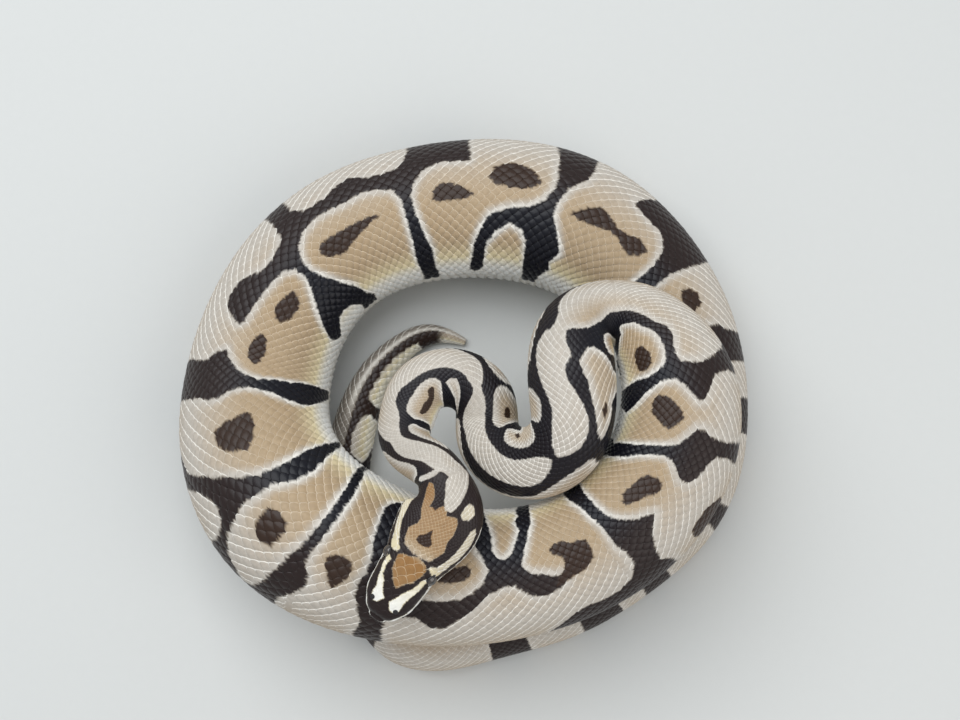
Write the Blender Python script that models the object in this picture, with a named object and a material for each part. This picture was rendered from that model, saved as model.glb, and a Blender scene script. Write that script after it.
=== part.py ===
"""Adult ball python lying coiled, life size, as a still museum-type model.

The hind body makes the lower turn of the coil, the middle body lies on top of it and comes
down to the floor at the left, the neck folds twice across the open middle, and the head rests
on the coil. The tail lies on the floor inside the coil. The body is divided into short lengths
that meet across a thin gap, and the head into skull part, lower jaw and eyes.

Frame: metres, +Z up, floor at z = 0, origin on the floor under the middle of the coil's box.
Shapes are worked out in millimetres and become metres when their points are placed.
"""
import math

import bmesh
import bpy
import numpy as np

MM = 0.001

# Driving dimensions, in millimetres.
FACETS = 20             # points round a section of the body
TRUNK_STEP = 8.5        # spacing of the sections along the thick coil
THIN_STEP = 6.5         # spacing where the hind trunk narrows and turns under the coil
NECK_STEP = 4.6         # spacing along the folded neck and the tail
HEAD_STEP = 2.6         # spacing along the head
SECTION_EASE = 5        # sections turn with the axis averaged over this length either way
GAP = 0.3               # clear space between neighbouring solids
HEAD_LENGTH = 49.0      # snout to the back of the jaws
TIP_CUT = 1.0           # blunt end of the tail
FOLD_REACH = 0.93       # share of a bend's radius that the body fills on its inner side
HOOP = (0.0, 3.5)       # middle of the coil, seen from above
SNOUT = (-27.0, -75.7)  # front of the snout, seen from above
HEAD_HEADING = 56.3     # direction from snout to nape, degrees from +X
EYE_RADIUS = 2.5
EYE_ALONG = 19.0        # eye's place behind the snout
EYE_ASIDE = 7.2         # eye's centre from the midline
EYE_ABOVE = 2.4         # eye's centre above the head's axis
MOUTH_END = 37.5        # mouth corner behind the snout

# Head outline: distance from the snout, half width, crown above the axis, chin below it,
# and how boxy the upper side is (2 is an ellipse).
HEAD_STATIONS = (
    (0.0, 3.2, 1.0, 2.6, 2.2),
    (0.8, 4.5, 2.3, 3.2, 2.3),
    (2.4, 5.8, 3.4, 3.7, 2.5),
    (5.0, 7.4, 4.4, 4.2, 2.6),
    (9.0, 8.5, 5.3, 4.7, 2.7),
    (14.0, 8.9, 6.3, 5.2, 2.6),
    (19.0, 9.6, 7.1, 5.8, 2.5),
    (24.0, 11.0, 7.5, 6.5, 2.3),
    (29.0, 12.4, 7.6, 7.1, 2.2),
    (34.0, 13.1, 7.6, 7.5, 2.1),
    (38.0, 12.6, 7.5, 7.7, 2.05),
    (43.0, 10.4, 7.5, 7.8, 2.0),
    (49.0, 8.1, 7.3, 7.3, 2.0),
)

# Mouth line: distance from the snout and depth below the axis.
MOUTH_LINE = ((-3.0, 1.1), (4.0, 1.2), (12.0, 1.9), (22.0, 2.7), (31.0, 3.1), (37.5, 2.6))

# Height of a section against its width, along the body.
HEIGHT_RATIO = ((49, 0.86), (80, 0.90), (230, 0.92), (330, 0.87), (780, 0.87), (900, 0.90), (1010, 0.95))

# Where the lengths of the body meet, as distances from the snout.
NECK_CUTS = (49, 84, 122, 172, 206)
TRUNK_CUTS = (206, 262, 322, 382, 442, 500, 558, 616, 672, 728, 784, 838, 884, 924)
TAIL_CUTS = (924, 962)
THIN_FROM = 784


def on_head(along, height, half_width):
    """Knot of the route on the head's straight axis."""
    heading = math.radians(HEAD_HEADING)
    x = SNOUT[0] + along * math.cos(heading)
    y = SNOUT[1] + along * math.sin(heading)
    return (x, y, height, half_width)


def on_arc(centre, radius, angles, count, heights, half_widths):
    """Knots of one bend, evenly spaced on an arc in plan, rising and widening evenly."""
    knots = []
    for share in np.linspace(0.0, 1.0, count):
        angle = math.radians(angles[0] + (angles[1] - angles[0]) * share)
        height = heights[0] + (heights[1] - heights[0]) * share
        half_width = half_widths[0] + (half_widths[1] - half_widths[0]) * share
        x = centre[0] + radius * math.cos(angle)
        y = centre[1] + radius * math.sin(angle)
        knots.append((x, y, height, half_width))
    return knots


def on_hoop(rows):
    """Knots of the coil, each given by angle, distance from the coil's middle, height and half width."""
    knots = []
    for angle, radius, height, half_width in rows:
        x = HOOP[0] + radius * math.cos(math.radians(angle))
        y = HOOP[1] + radius * math.sin(math.radians(angle))
        knots.append((x, y, height, half_width))
    return knots


def route_knots():
    """Every knot of the body's axis, from the snout to the tail tip: x, y, height, half width."""
    head = [on_head(0, 70.4, 5), on_head(12, 71.3, 8.3), on_head(24, 72.2, 11), on_head(36, 72.9, 13)]
    nape = [(-5.0, -40.3, 73.0, 10.7), (-6.0, -35.3, 72.2, 8.8), (-7.9, -31.4, 70.6, 7.8),
            (-10.8, -28.3, 67.8, 7.7), (-15.2, -25.1, 63.2, 7.7), (-18.6, -21.4, 58.6, 8.1),
            (-20.0, -16.1, 54.4, 8.7)]
    first_loop = on_arc((-5.6, -10.4), 13.3, (176, -12), 6, (51.0, 46.0), (9.4, 10.6))
    second_loop = on_arc((21.0, -13.1), 13.6, (204, 335), 5, (48.6, 64.4), (10.9, 12.9))
    rise = [(34.9, -3.5, 65.9, 14.2), (34.8, 7.1, 64.0, 14.0)]
    top_turn = [(37.3, 17.2, 60.0, 12.6), (42.6, 22.3, 57.5, 11.2), (48.5, 23.7, 56.3, 11.0),
                (55.0, 22.1, 56.5, 12.3), (61.3, 17.0, 57.6, 14.6)]
    upper_turn = on_hoop((
        (-2, 69.8, 58.5, 18.7), (-20, 73.3, 55.0, 20.5), (-40, 72.1, 51.2, 20.9),
        (-60, 69.6, 47.2, 20.6), (-80, 67.1, 45.2, 21.7), (-100, 66.7, 44.4, 23.7),
        (-120, 69.0, 43.4, 26.0), (-140, 73.3, 41.5, 27.2), (-160, 75.3, 33.0, 26.5),
        (-180, 74.3, 21.9, 25.9), (-205, 72.0, 20.4, 25.1), (-230, 69.8, 20.3, 24.9),
        (-255, 66.6, 20.3, 24.9), (-280, 67.4, 20.8, 25.6), (-305, 72.0, 20.5, 25.3),
    ))
    lower_turn = on_hoop((
        (-325, 75.1, 19.3, 23.7), (-345, 76.9, 18.7, 23.0), (-365, 79.4, 17.6, 21.8),
        (-385, 82.2, 15.9, 20.0), (-405, 79.6, 14.2, 17.9), (-425, 78.7, 12.5, 16.5),
        (-445, 81.5, 11.0, 14.4), (-465, 86.9, 9.6, 12.2),
    ))
    tail = [(-32, -70.5, 8.6, 10.6), (-40, -56.5, 8.1, 9.8), (-44, -40.5, 7.6, 9.2),
            (-43.8, -24.5, 7.1, 8.6), (-40.8, -8.1, 6.5, 7.8), (-36, 6.5, 5.6, 6.6),
            (-25.5, 20.1, 4.4, 5.1), (-13, 26.8, 3.0, 3.5), (-2.5, 24.7, 1.75, 1.7), (1.5, 23.1, 1.3, 0.9)]
    return np.array(head + nape + first_loop + second_loop + rise + top_turn
                    + upper_turn + lower_turn + tail)


def natural_spline(knots_at, values):
    """Natural cubic through values given at knots_at, as a function."""
    count = len(knots_at)
    gaps = np.diff(knots_at)
    system = np.eye(count)
    right_side = np.zeros(count)
    for i in range(1, count - 1):
        system[i, i - 1:i + 2] = gaps[i - 1], 2 * (gaps[i - 1] + gaps[i]), gaps[i]
        slope_after = (values[i + 1] - values[i]) / gaps[i]
        slope_before = (values[i] - values[i - 1]) / gaps[i - 1]
        right_side[i] = 6 * (slope_after - slope_before)
    bends = np.linalg.solve(system, right_side)

    def value(at):
        i = np.clip(np.searchsorted(knots_at, at) - 1, 0, count - 2)
        before = (knots_at[i + 1] - at) / gaps[i]
        after = (at - knots_at[i]) / gaps[i]
        curve = (before ** 3 - before) * bends[i] + (after ** 3 - after) * bends[i + 1]
        return before * values[i] + after * values[i + 1] + curve * gaps[i] ** 2 / 6

    return value


def spaced_route():
    """The axis read every millimetre of its length: points, half widths."""
    knots = route_knots()
    chords = np.linalg.norm(np.diff(knots[:, :3], axis=0), axis=1)
    knots_at = np.concatenate([[0.0], np.cumsum(chords)])
    fine = np.linspace(0.0, knots_at[-1], 6000)
    curve = np.stack([natural_spline(knots_at, knots[:, i])(fine) for i in range(4)], axis=1)
    steps = np.linalg.norm(np.diff(curve[:, :3], axis=0), axis=1)
    length = np.concatenate([[0.0], np.cumsum(steps)])
    along = np.arange(0.0, length[-1], 1.0)
    even = np.stack([np.interp(along, length, curve[:, i]) for i in range(4)], axis=1)
    return along, even[:, :3], even[:, 3]


def smoothed(values, reach):
    """Running mean over reach samples on each side."""
    padded = np.pad(values, reach, mode="edge")
    weights = np.ones(2 * reach + 1) / (2 * reach + 1)
    return np.convolve(padded, weights, mode="valid")


def head_shape(column, along):
    """One column of the head's stations, read smoothly at these distances from the snout."""
    stations = np.array(HEAD_STATIONS)
    return natural_spline(stations[:, 0], stations[:, column])(along)


ALONG, AXIS, HALF_WIDTH = spaced_route()
HALF_WIDTH = np.where(ALONG < HEAD_LENGTH, head_shape(1, np.minimum(ALONG, HEAD_LENGTH)), HALF_WIDTH)
TANGENT = np.stack([smoothed(np.gradient(AXIS[:, i]), SECTION_EASE) for i in range(3)], axis=1)
TANGENT /= np.linalg.norm(TANGENT, axis=1)[:, None]
RIGHT = np.cross((0.0, 0.0, 1.0), TANGENT)
RIGHT /= np.linalg.norm(RIGHT, axis=1)[:, None]
UP = np.cross(TANGENT, RIGHT)
TURN = smoothed(np.einsum("ij,ij->i", np.gradient(TANGENT, axis=0), RIGHT), 3)
BODY_LENGTH = ALONG[-1]


def reach(turn):
    """Half width of one side of the body, held inside the bend's radius where it folds that way."""
    room = FOLD_REACH / np.maximum(turn, 1e-3)
    return HALF_WIDTH - smoothed(np.maximum(HALF_WIDTH - room, 0.0), 4)


REACH_RIGHT = reach(TURN)
REACH_LEFT = reach(-TURN)


def section(along, facets=FACETS):
    """Closed outline of the body across its axis, as points in millimetres."""
    centre, right, up = (
        np.array([np.interp(along, ALONG, field[:, i]) for i in range(3)]) for field in (AXIS, RIGHT, UP)
    )
    reach_right = np.interp(along, ALONG, REACH_RIGHT)
    reach_left = np.interp(along, ALONG, REACH_LEFT)
    ratio = np.interp(along, *np.array(HEIGHT_RATIO).T)
    crown = belly = ratio * np.interp(along, ALONG, HALF_WIDTH)
    boxy = 2.0
    if along < HEAD_LENGTH:
        reach_right *= head_shape(1, along) / np.interp(along, ALONG, HALF_WIDTH)
        reach_left *= head_shape(1, along) / np.interp(along, ALONG, HALF_WIDTH)
        crown, belly, boxy = (head_shape(column, along) for column in (2, 3, 4))
    points = []
    for angle in np.arange(facets) * 2 * math.pi / facets:
        across, height = math.sin(angle), math.cos(angle)
        power = 2.0 / boxy if height > 0 else 1.0
        aside = math.copysign(abs(across) ** power, across) * (reach_right if across > 0 else reach_left)
        above = math.copysign(abs(height) ** power, height) * (crown if height > 0 else belly)
        point = centre + right * aside + up * above
        point[2] = max(point[2], 0.0)
        points.append(point)
    return points


def loft(name, sections):
    """Solid through closed sections of equal count, with flat ends."""
    shape = bmesh.new()
    loops = [[shape.verts.new(point * MM) for point in outline] for outline in sections]
    for near, far in zip(loops, loops[1:]):
        for i in range(len(near)):
            shape.faces.new((near[i - 1], near[i], far[i], far[i - 1]))
    shape.faces.new(loops[0])
    shape.faces.new(loops[-1])
    bmesh.ops.recalc_face_normals(shape, faces=shape.faces)
    return finished_object(name, shape)


def finished_object(name, shape):
    """Scene object of this name made from a bmesh, shaded smooth."""
    mesh = bpy.data.meshes.new(name)
    shape.to_mesh(mesh)
    shape.free()
    mesh.shade_smooth()
    mesh.set_sharp_from_angle(angle=math.radians(50))
    solid = bpy.data.objects.new(name, mesh)
    ANIMAL.objects.link(solid)
    return solid


def finish(name, colour, roughness):
    """Skin, or eye, material."""
    material = bpy.data.materials.new(name)
    material.use_nodes = True
    shader = material.node_tree.nodes["Principled BSDF"]
    shader.inputs["Base Color"].default_value = (*colour, 1.0)
    shader.inputs["Roughness"].default_value = roughness
    shader.inputs["Metallic"].default_value = 0.0
    material.diffuse_color = (*colour, 1.0)
    return material


def body_length(name, start, stop, step, material):
    """One length of the body between two cuts."""
    stop = min(stop, BODY_LENGTH - TIP_CUT)
    count = max(3, round((stop - start) / step) + 1)
    sections = [section(along) for along in np.linspace(start, stop, count)]
    sections[0] = moved_along(sections[0], start, GAP / 2)
    sections[-1] = moved_along(sections[-1], stop, -GAP / 2)
    solid = loft(name, sections)
    solid.data.materials.append(material)
    return solid


def moved_along(outline, along, distance):
    """Section moved straight along the body, so that the two faces of a cut stay parallel."""
    forward = np.array([np.interp(along, ALONG, TANGENT[:, i]) for i in range(3)])
    moved = [point + forward * distance for point in outline]
    for point in moved:
        point[2] = max(point[2], 0.0)
    return moved


def head_point(along, aside, above):
    """Place on the head, from distance behind the snout, distance to its right and height over the axis."""
    centre, right, up = (
        np.array([np.interp(along, ALONG, field[:, i]) for i in range(3)]) for field in (AXIS, RIGHT, UP)
    )
    return centre + right * aside + up * above


def whole_head(name):
    """The head's closed outline, closely spaced at the rounded snout."""
    snout = [0.0, 0.8, 1.7, 2.8]
    rest = np.linspace(4.4, HEAD_LENGTH, round((HEAD_LENGTH - 4.4) / HEAD_STEP) + 1)
    sections = [section(along) for along in snout + list(rest)]
    sections[-1] = moved_along(sections[-1], HEAD_LENGTH, -GAP / 2)
    return loft(name, sections)


def jaw_room(name, margin):
    """Cutter over the lower jaw: everything under the mouth line and ahead of the mouth corner."""
    side_view = [(along + (margin if along == MOUTH_END else 0.0), -depth + margin)
                 for along, depth in MOUTH_LINE]
    deep = -14.0
    outline = side_view + [(side_view[-1][0] + 2.0, deep), (side_view[0][0], deep)]
    width = 18.0
    shape = bmesh.new()
    sides = []
    for aside in (-width, width):
        sides.append([shape.verts.new(straight_head_point(along, aside, above) * MM)
                      for along, above in outline])
    for i in range(len(outline)):
        shape.faces.new((sides[0][i - 1], sides[0][i], sides[1][i], sides[1][i - 1]))
    shape.faces.new(sides[0])
    shape.faces.new(sides[1])
    bmesh.ops.recalc_face_normals(shape, faces=shape.faces)
    return cutter_object(name, shape)


def straight_head_point(along, aside, above):
    """Like head_point, on the straight axis of the front of the head, also ahead of the snout."""
    middle = head_point(20.0, aside, above)
    forward = TANGENT[20]
    return middle + forward * (along - 20.0)


def cutter_object(name, shape):
    """Hidden tool for a Boolean."""
    mesh = bpy.data.meshes.new(name)
    shape.to_mesh(mesh)
    shape.free()
    tool = bpy.data.objects.new(name, mesh)
    tool.hide_render = True
    tool.display_type = "WIRE"
    CUTTERS.objects.link(tool)
    return tool


def ball(centre, radius):
    """Sphere as a bmesh, radius and centre in millimetres."""
    shape = bmesh.new()
    bmesh.ops.create_uvsphere(shape, u_segments=16, v_segments=10, radius=radius * MM)
    bmesh.ops.translate(shape, verts=shape.verts, vec=centre * MM)
    return shape


def boolean(solid, operation, tool):
    """Exact Boolean of a solid with a cutter."""
    cut = solid.modifiers.new(tool.name, "BOOLEAN")
    cut.operation = operation
    cut.solver = "EXACT"
    cut.object = tool


def build_head(skin, iris):
    """Skull part with sockets, lower jaw parted along the mouth, and the two eyes."""
    head = whole_head("head")
    boolean(head, "DIFFERENCE", jaw_room("jaw_cut", GAP / 2))
    jaw = whole_head("lower_jaw")
    boolean(jaw, "INTERSECT", jaw_room("jaw_space", -GAP / 2))
    for side, label in ((1.0, "right"), (-1.0, "left")):
        centre = head_point(EYE_ALONG, side * EYE_ASIDE, EYE_ABOVE)
        boolean(head, "DIFFERENCE", cutter_object("socket_" + label, ball(centre, EYE_RADIUS + GAP)))
        eye = finished_object("eye_" + label, ball(centre, EYE_RADIUS))
        eye.data.materials.append(iris)
    head.data.materials.append(skin)
    jaw.data.materials.append(skin)


def build_body(neck_skin, trunk_skin, tail_skin):
    """Neck, trunk and tail lengths in order behind the head."""
    for group, cuts, step, material in (
        ("neck", NECK_CUTS, NECK_STEP, neck_skin),
        ("trunk", TRUNK_CUTS, TRUNK_STEP, trunk_skin),
        ("tail", TAIL_CUTS + (BODY_LENGTH,), NECK_STEP, tail_skin),
    ):
        for number, (start, stop) in enumerate(zip(cuts, cuts[1:]), 1):
            if group == "trunk" and number == 1:
                step = NECK_STEP
            elif group == "trunk":
                step = THIN_STEP if start >= THIN_FROM else TRUNK_STEP
            body_length(f"{group}_{number}", start, stop, step, material)


def new_collection(name):
    """Collection in the scene."""
    collection = bpy.data.collections.new(name)
    bpy.context.scene.collection.children.link(collection)
    return collection


for leftover in list(bpy.data.objects):
    bpy.data.objects.remove(leftover)
ANIMAL = new_collection("ball_python")
CUTTERS = new_collection("cutters")
CUTTERS.hide_render = True
build_head(finish("head_scales", (0.30, 0.17, 0.07), 0.42), finish("eye", (0.015, 0.012, 0.01), 0.08))
build_body(finish("neck_scales", (0.36, 0.28, 0.20), 0.45),
           finish("trunk_scales", (0.45, 0.33, 0.20), 0.45),
           finish("tail_scales", (0.22, 0.17, 0.13), 0.48))
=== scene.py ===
import math

import bmesh
import bpy
import numpy as np
from mathutils import Matrix, Vector


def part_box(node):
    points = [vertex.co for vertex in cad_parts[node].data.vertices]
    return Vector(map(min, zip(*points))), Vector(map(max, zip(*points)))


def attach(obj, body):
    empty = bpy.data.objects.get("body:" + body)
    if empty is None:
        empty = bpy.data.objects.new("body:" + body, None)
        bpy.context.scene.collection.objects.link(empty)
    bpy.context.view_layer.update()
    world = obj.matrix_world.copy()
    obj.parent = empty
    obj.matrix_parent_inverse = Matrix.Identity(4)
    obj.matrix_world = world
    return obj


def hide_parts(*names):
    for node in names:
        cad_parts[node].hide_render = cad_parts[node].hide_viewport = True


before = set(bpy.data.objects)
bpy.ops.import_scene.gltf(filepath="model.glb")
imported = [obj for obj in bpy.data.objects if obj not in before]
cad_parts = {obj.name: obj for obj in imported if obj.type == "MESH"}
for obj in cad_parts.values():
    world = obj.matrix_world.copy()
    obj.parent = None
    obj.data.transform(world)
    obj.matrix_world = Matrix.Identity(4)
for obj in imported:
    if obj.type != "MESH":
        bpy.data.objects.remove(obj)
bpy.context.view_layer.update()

# ---------------------------------------------------------------------------------------------
# Stage: a plain pale floor, wide soft light from above, and the camera.
# The camera looks almost straight down on the coil, half a metre from the floor under its aim.
# ---------------------------------------------------------------------------------------------
CAMERA_AIM = Vector((0.005, 0.0175, 0.0))
CAMERA_REACH = 0.5
CAMERA_ELEVATION = math.radians(80)


def soft_light(name, place, size, power, colour):
    """Square area light aimed at the coil."""
    data = bpy.data.lights.new(name, "AREA")
    data.size = size
    data.energy = power
    data.color = colour
    lamp = bpy.data.objects.new(name, data)
    lamp.location = place
    lamp.rotation_euler = (Vector((0.0, 0.0, 0.03)) - Vector(place)).to_track_quat("-Z", "Y").to_euler()
    bpy.context.scene.collection.objects.link(lamp)


def linked(name, shape, material, smooth=True):
    """Scene object made from a bmesh whose points are already in place."""
    mesh = bpy.data.meshes.new(name)
    shape.to_mesh(mesh)
    shape.free()
    mesh.materials.append(material)
    if smooth:
        mesh.shade_smooth()
    piece = bpy.data.objects.new(name, mesh)
    bpy.context.scene.collection.objects.link(piece)
    return piece


def plain_finish(name, colour, roughness, mottle_depth=0.1):
    """Material of one colour with a fine mottle, read from Object coordinates."""
    material = bpy.data.materials.new(name)
    material.use_nodes = True
    nodes, links = material.node_tree.nodes, material.node_tree.links
    shader = nodes["Principled BSDF"]
    shader.inputs["Roughness"].default_value = roughness
    place = nodes.new("ShaderNodeTexCoord")
    mottle = nodes.new("ShaderNodeTexNoise")
    mottle.inputs["Scale"].default_value = 300.0
    tones = nodes.new("ShaderNodeMix")
    tones.data_type = "RGBA"
    tones.inputs["A"].default_value = (*(value * (1 - mottle_depth) for value in colour), 1.0)
    tones.inputs["B"].default_value = (*(value * (1 + mottle_depth) for value in colour), 1.0)
    links.new(place.outputs["Object"], mottle.inputs["Vector"])
    links.new(mottle.outputs["Fac"], tones.inputs["Factor"])
    links.new(tones.outputs["Result"], shader.inputs["Base Color"])
    return material


floor_shape = bmesh.new()
bmesh.ops.create_grid(floor_shape, x_segments=1, y_segments=1, size=1.5)
floor = linked("floor", floor_shape, plain_finish("pale_floor", (0.60, 0.60, 0.58), 0.8, 0.01), smooth=False)

soft_light("sky_panel", (-0.35, 0.45, 1.1), 1.2, 13.0, (0.93, 0.97, 1.0))
soft_light("fill_panel", (0.7, -0.5, 0.8), 0.9, 4.0, (1.0, 0.97, 0.93))
world = bpy.data.worlds.new("studio")
world.use_nodes = True
world.node_tree.nodes["Background"].inputs["Color"].default_value = (0.90, 0.95, 1.0, 1.0)
world.node_tree.nodes["Background"].inputs["Strength"].default_value = 0.55
bpy.context.scene.world = world
bpy.context.scene.view_settings.view_transform = "Standard"

camera_data = bpy.data.cameras.new("camera")
camera_data.lens = 50.0
camera_data.sensor_width = 36.0
camera = bpy.data.objects.new("camera", camera_data)
back = Vector((0.0, -math.cos(CAMERA_ELEVATION), math.sin(CAMERA_ELEVATION))) * CAMERA_REACH
camera.location = CAMERA_AIM + back
camera.rotation_euler = (math.pi / 2 - CAMERA_ELEVATION, 0.0, 0.0)
bpy.context.scene.collection.objects.link(camera)
bpy.context.scene.camera = camera

# ---------------------------------------------------------------------------------------------
# Lie of the body: the axis from snout to tail tip, as it rests in its coil, in millimetres.
# Every place on the animal is then a distance along it and a share of the way round it.
# ---------------------------------------------------------------------------------------------
MM = 0.001
ROUTE_STEPS = 6000
SECTION_EASE = 5        # millimetres on each side over which the axis's direction is evened out
TURN_EASE = 3
REACH_EASE = 4
FOLD_REACH = 0.93       # share of a bend's radius that the body may fill on its inner side
HEAD_LENGTH = 49.0
SNOUT = (-27.0, -75.7)
HEAD_HEADING = 56.3     # degrees from +X, from the snout to the nape
HOOP = (0.0, 3.5)       # middle of the coil, in plan
# Head sections: distance from the snout, half width, crown, chin, and how boxy the upper half is.
HEAD_STATIONS = (
    (0.0, 3.2, 1.0, 2.6, 2.2), (0.8, 4.5, 2.3, 3.2, 2.3), (2.4, 5.8, 3.4, 3.7, 2.5),
    (5.0, 7.4, 4.4, 4.2, 2.6), (9.0, 8.5, 5.3, 4.7, 2.7), (14.0, 8.9, 6.3, 5.2, 2.6),
    (19.0, 9.6, 7.1, 5.8, 2.5), (24.0, 11.0, 7.5, 6.5, 2.3), (29.0, 12.4, 7.6, 7.1, 2.2),
    (34.0, 13.1, 7.6, 7.5, 2.1), (38.0, 12.6, 7.5, 7.7, 2.05), (43.0, 10.4, 7.5, 7.8, 2.0),
    (49.0, 8.1, 7.3, 7.3, 2.0),
)
# Height of a section against its width, along the body behind the head.
HEIGHT_RATIO = ((49, 0.86), (80, 0.90), (230, 0.92), (330, 0.87), (780, 0.87), (900, 0.90), (1010, 0.95))


def on_head(along, height, half_width):
    """Knot of the route on the head's straight axis."""
    heading = math.radians(HEAD_HEADING)
    x = SNOUT[0] + along * math.cos(heading)
    y = SNOUT[1] + along * math.sin(heading)
    return (x, y, height, half_width)


def on_arc(centre, radius, angles, count, heights, half_widths):
    """Knots of one bend, evenly spaced on an arc in plan, rising and widening evenly."""
    knots = []
    for share in np.linspace(0.0, 1.0, count):
        angle = math.radians(angles[0] + (angles[1] - angles[0]) * share)
        height = heights[0] + (heights[1] - heights[0]) * share
        half_width = half_widths[0] + (half_widths[1] - half_widths[0]) * share
        x = centre[0] + radius * math.cos(angle)
        y = centre[1] + radius * math.sin(angle)
        knots.append((x, y, height, half_width))
    return knots


def on_hoop(rows):
    """Knots of the coil, each given by angle, distance from the coil's middle, height and half width."""
    knots = []
    for angle, radius, height, half_width in rows:
        x = HOOP[0] + radius * math.cos(math.radians(angle))
        y = HOOP[1] + radius * math.sin(math.radians(angle))
        knots.append((x, y, height, half_width))
    return knots


def route_knots():
    """Every knot of the body's axis, from the snout to the tail tip: x, y, height, half width."""
    head = [on_head(0, 70.4, 5), on_head(12, 71.3, 8.3), on_head(24, 72.2, 11), on_head(36, 72.9, 13)]
    nape = [(-5.0, -40.3, 73.0, 10.7), (-6.0, -35.3, 72.2, 8.8), (-7.9, -31.4, 70.6, 7.8),
            (-10.8, -28.3, 67.8, 7.7), (-15.2, -25.1, 63.2, 7.7), (-18.6, -21.4, 58.6, 8.1),
            (-20.0, -16.1, 54.4, 8.7)]
    first_loop = on_arc((-5.6, -10.4), 13.3, (176, -12), 6, (51.0, 46.0), (9.4, 10.6))
    second_loop = on_arc((21.0, -13.1), 13.6, (204, 335), 5, (48.6, 64.4), (10.9, 12.9))
    rise = [(34.9, -3.5, 65.9, 14.2), (34.8, 7.1, 64.0, 14.0)]
    top_turn = [(37.3, 17.2, 60.0, 12.6), (42.6, 22.3, 57.5, 11.2), (48.5, 23.7, 56.3, 11.0),
                (55.0, 22.1, 56.5, 12.3), (61.3, 17.0, 57.6, 14.6)]
    upper_turn = on_hoop((
        (-2, 69.8, 58.5, 18.7), (-20, 73.3, 55.0, 20.5), (-40, 72.1, 51.2, 20.9),
        (-60, 69.6, 47.2, 20.6), (-80, 67.1, 45.2, 21.7), (-100, 66.7, 44.4, 23.7),
        (-120, 69.0, 43.4, 26.0), (-140, 73.3, 41.5, 27.2), (-160, 75.3, 33.0, 26.5),
        (-180, 74.3, 21.9, 25.9), (-205, 72.0, 20.4, 25.1), (-230, 69.8, 20.3, 24.9),
        (-255, 66.6, 20.3, 24.9), (-280, 67.4, 20.8, 25.6), (-305, 72.0, 20.5, 25.3),
    ))
    lower_turn = on_hoop((
        (-325, 75.1, 19.3, 23.7), (-345, 76.9, 18.7, 23.0), (-365, 79.4, 17.6, 21.8),
        (-385, 82.2, 15.9, 20.0), (-405, 79.6, 14.2, 17.9), (-425, 78.7, 12.5, 16.5),
        (-445, 81.5, 11.0, 14.4), (-465, 86.9, 9.6, 12.2),
    ))
    tail = [(-32, -70.5, 8.6, 10.6), (-40, -56.5, 8.1, 9.8), (-44, -40.5, 7.6, 9.2),
            (-43.8, -24.5, 7.1, 8.6), (-40.8, -8.1, 6.5, 7.8), (-36, 6.5, 5.6, 6.6),
            (-25.5, 20.1, 4.4, 5.1), (-13, 26.8, 3.0, 3.5), (-2.5, 24.7, 1.75, 1.7), (1.5, 23.1, 1.3, 0.9)]
    return np.array(head + nape + first_loop + second_loop + rise + top_turn
                    + upper_turn + lower_turn + tail)


def natural_spline(knots_at, values):
    """Natural cubic through values given at knots_at, as a function."""
    count = len(knots_at)
    gaps = np.diff(knots_at)
    system = np.eye(count)
    right_side = np.zeros(count)
    for i in range(1, count - 1):
        system[i, i - 1:i + 2] = gaps[i - 1], 2 * (gaps[i - 1] + gaps[i]), gaps[i]
        slope_after = (values[i + 1] - values[i]) / gaps[i]
        slope_before = (values[i] - values[i - 1]) / gaps[i - 1]
        right_side[i] = 6 * (slope_after - slope_before)
    bends = np.linalg.solve(system, right_side)

    def value(at):
        i = np.clip(np.searchsorted(knots_at, at) - 1, 0, count - 2)
        before = (knots_at[i + 1] - at) / gaps[i]
        after = (at - knots_at[i]) / gaps[i]
        curve = (before ** 3 - before) * bends[i] + (after ** 3 - after) * bends[i + 1]
        return before * values[i] + after * values[i + 1] + curve * gaps[i] ** 2 / 6

    return value


def spaced_route():
    """The axis read every millimetre of its length: points, half widths."""
    knots = route_knots()
    chords = np.linalg.norm(np.diff(knots[:, :3], axis=0), axis=1)
    knots_at = np.concatenate([[0.0], np.cumsum(chords)])
    fine = np.linspace(0.0, knots_at[-1], ROUTE_STEPS)
    curve = np.stack([natural_spline(knots_at, knots[:, i])(fine) for i in range(4)], axis=1)
    steps = np.linalg.norm(np.diff(curve[:, :3], axis=0), axis=1)
    length = np.concatenate([[0.0], np.cumsum(steps)])
    along = np.arange(0.0, length[-1], 1.0)
    even = np.stack([np.interp(along, length, curve[:, i]) for i in range(4)], axis=1)
    return along, even[:, :3], even[:, 3]


def smoothed(values, reach):
    """Running mean over reach samples on each side."""
    padded = np.pad(values, reach, mode="edge")
    weights = np.ones(2 * reach + 1) / (2 * reach + 1)
    return np.convolve(padded, weights, mode="valid")


def read_off(pairs, along):
    """Value at these distances from the snout, between pairs of distance and value."""
    return np.interp(along, *np.array(pairs).T)


def head_shape(column, along):
    """One column of the head's stations, read smoothly at these distances from the snout."""
    stations = np.array(HEAD_STATIONS)
    return natural_spline(stations[:, 0], stations[:, column])(along)


ALONG, AXIS, HALF_WIDTH = spaced_route()
HALF_WIDTH = np.where(ALONG < HEAD_LENGTH, head_shape(1, np.minimum(ALONG, HEAD_LENGTH)), HALF_WIDTH)
TANGENT = np.stack([smoothed(np.gradient(AXIS[:, i]), SECTION_EASE) for i in range(3)], axis=1)
TANGENT /= np.linalg.norm(TANGENT, axis=1)[:, None]
RIGHT = np.cross((0.0, 0.0, 1.0), TANGENT)
RIGHT /= np.linalg.norm(RIGHT, axis=1)[:, None]
UP = np.cross(TANGENT, RIGHT)
TURN = smoothed(np.einsum("ij,ij->i", np.gradient(TANGENT, axis=0), RIGHT), TURN_EASE)
BODY_LENGTH = ALONG[-1]


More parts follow.
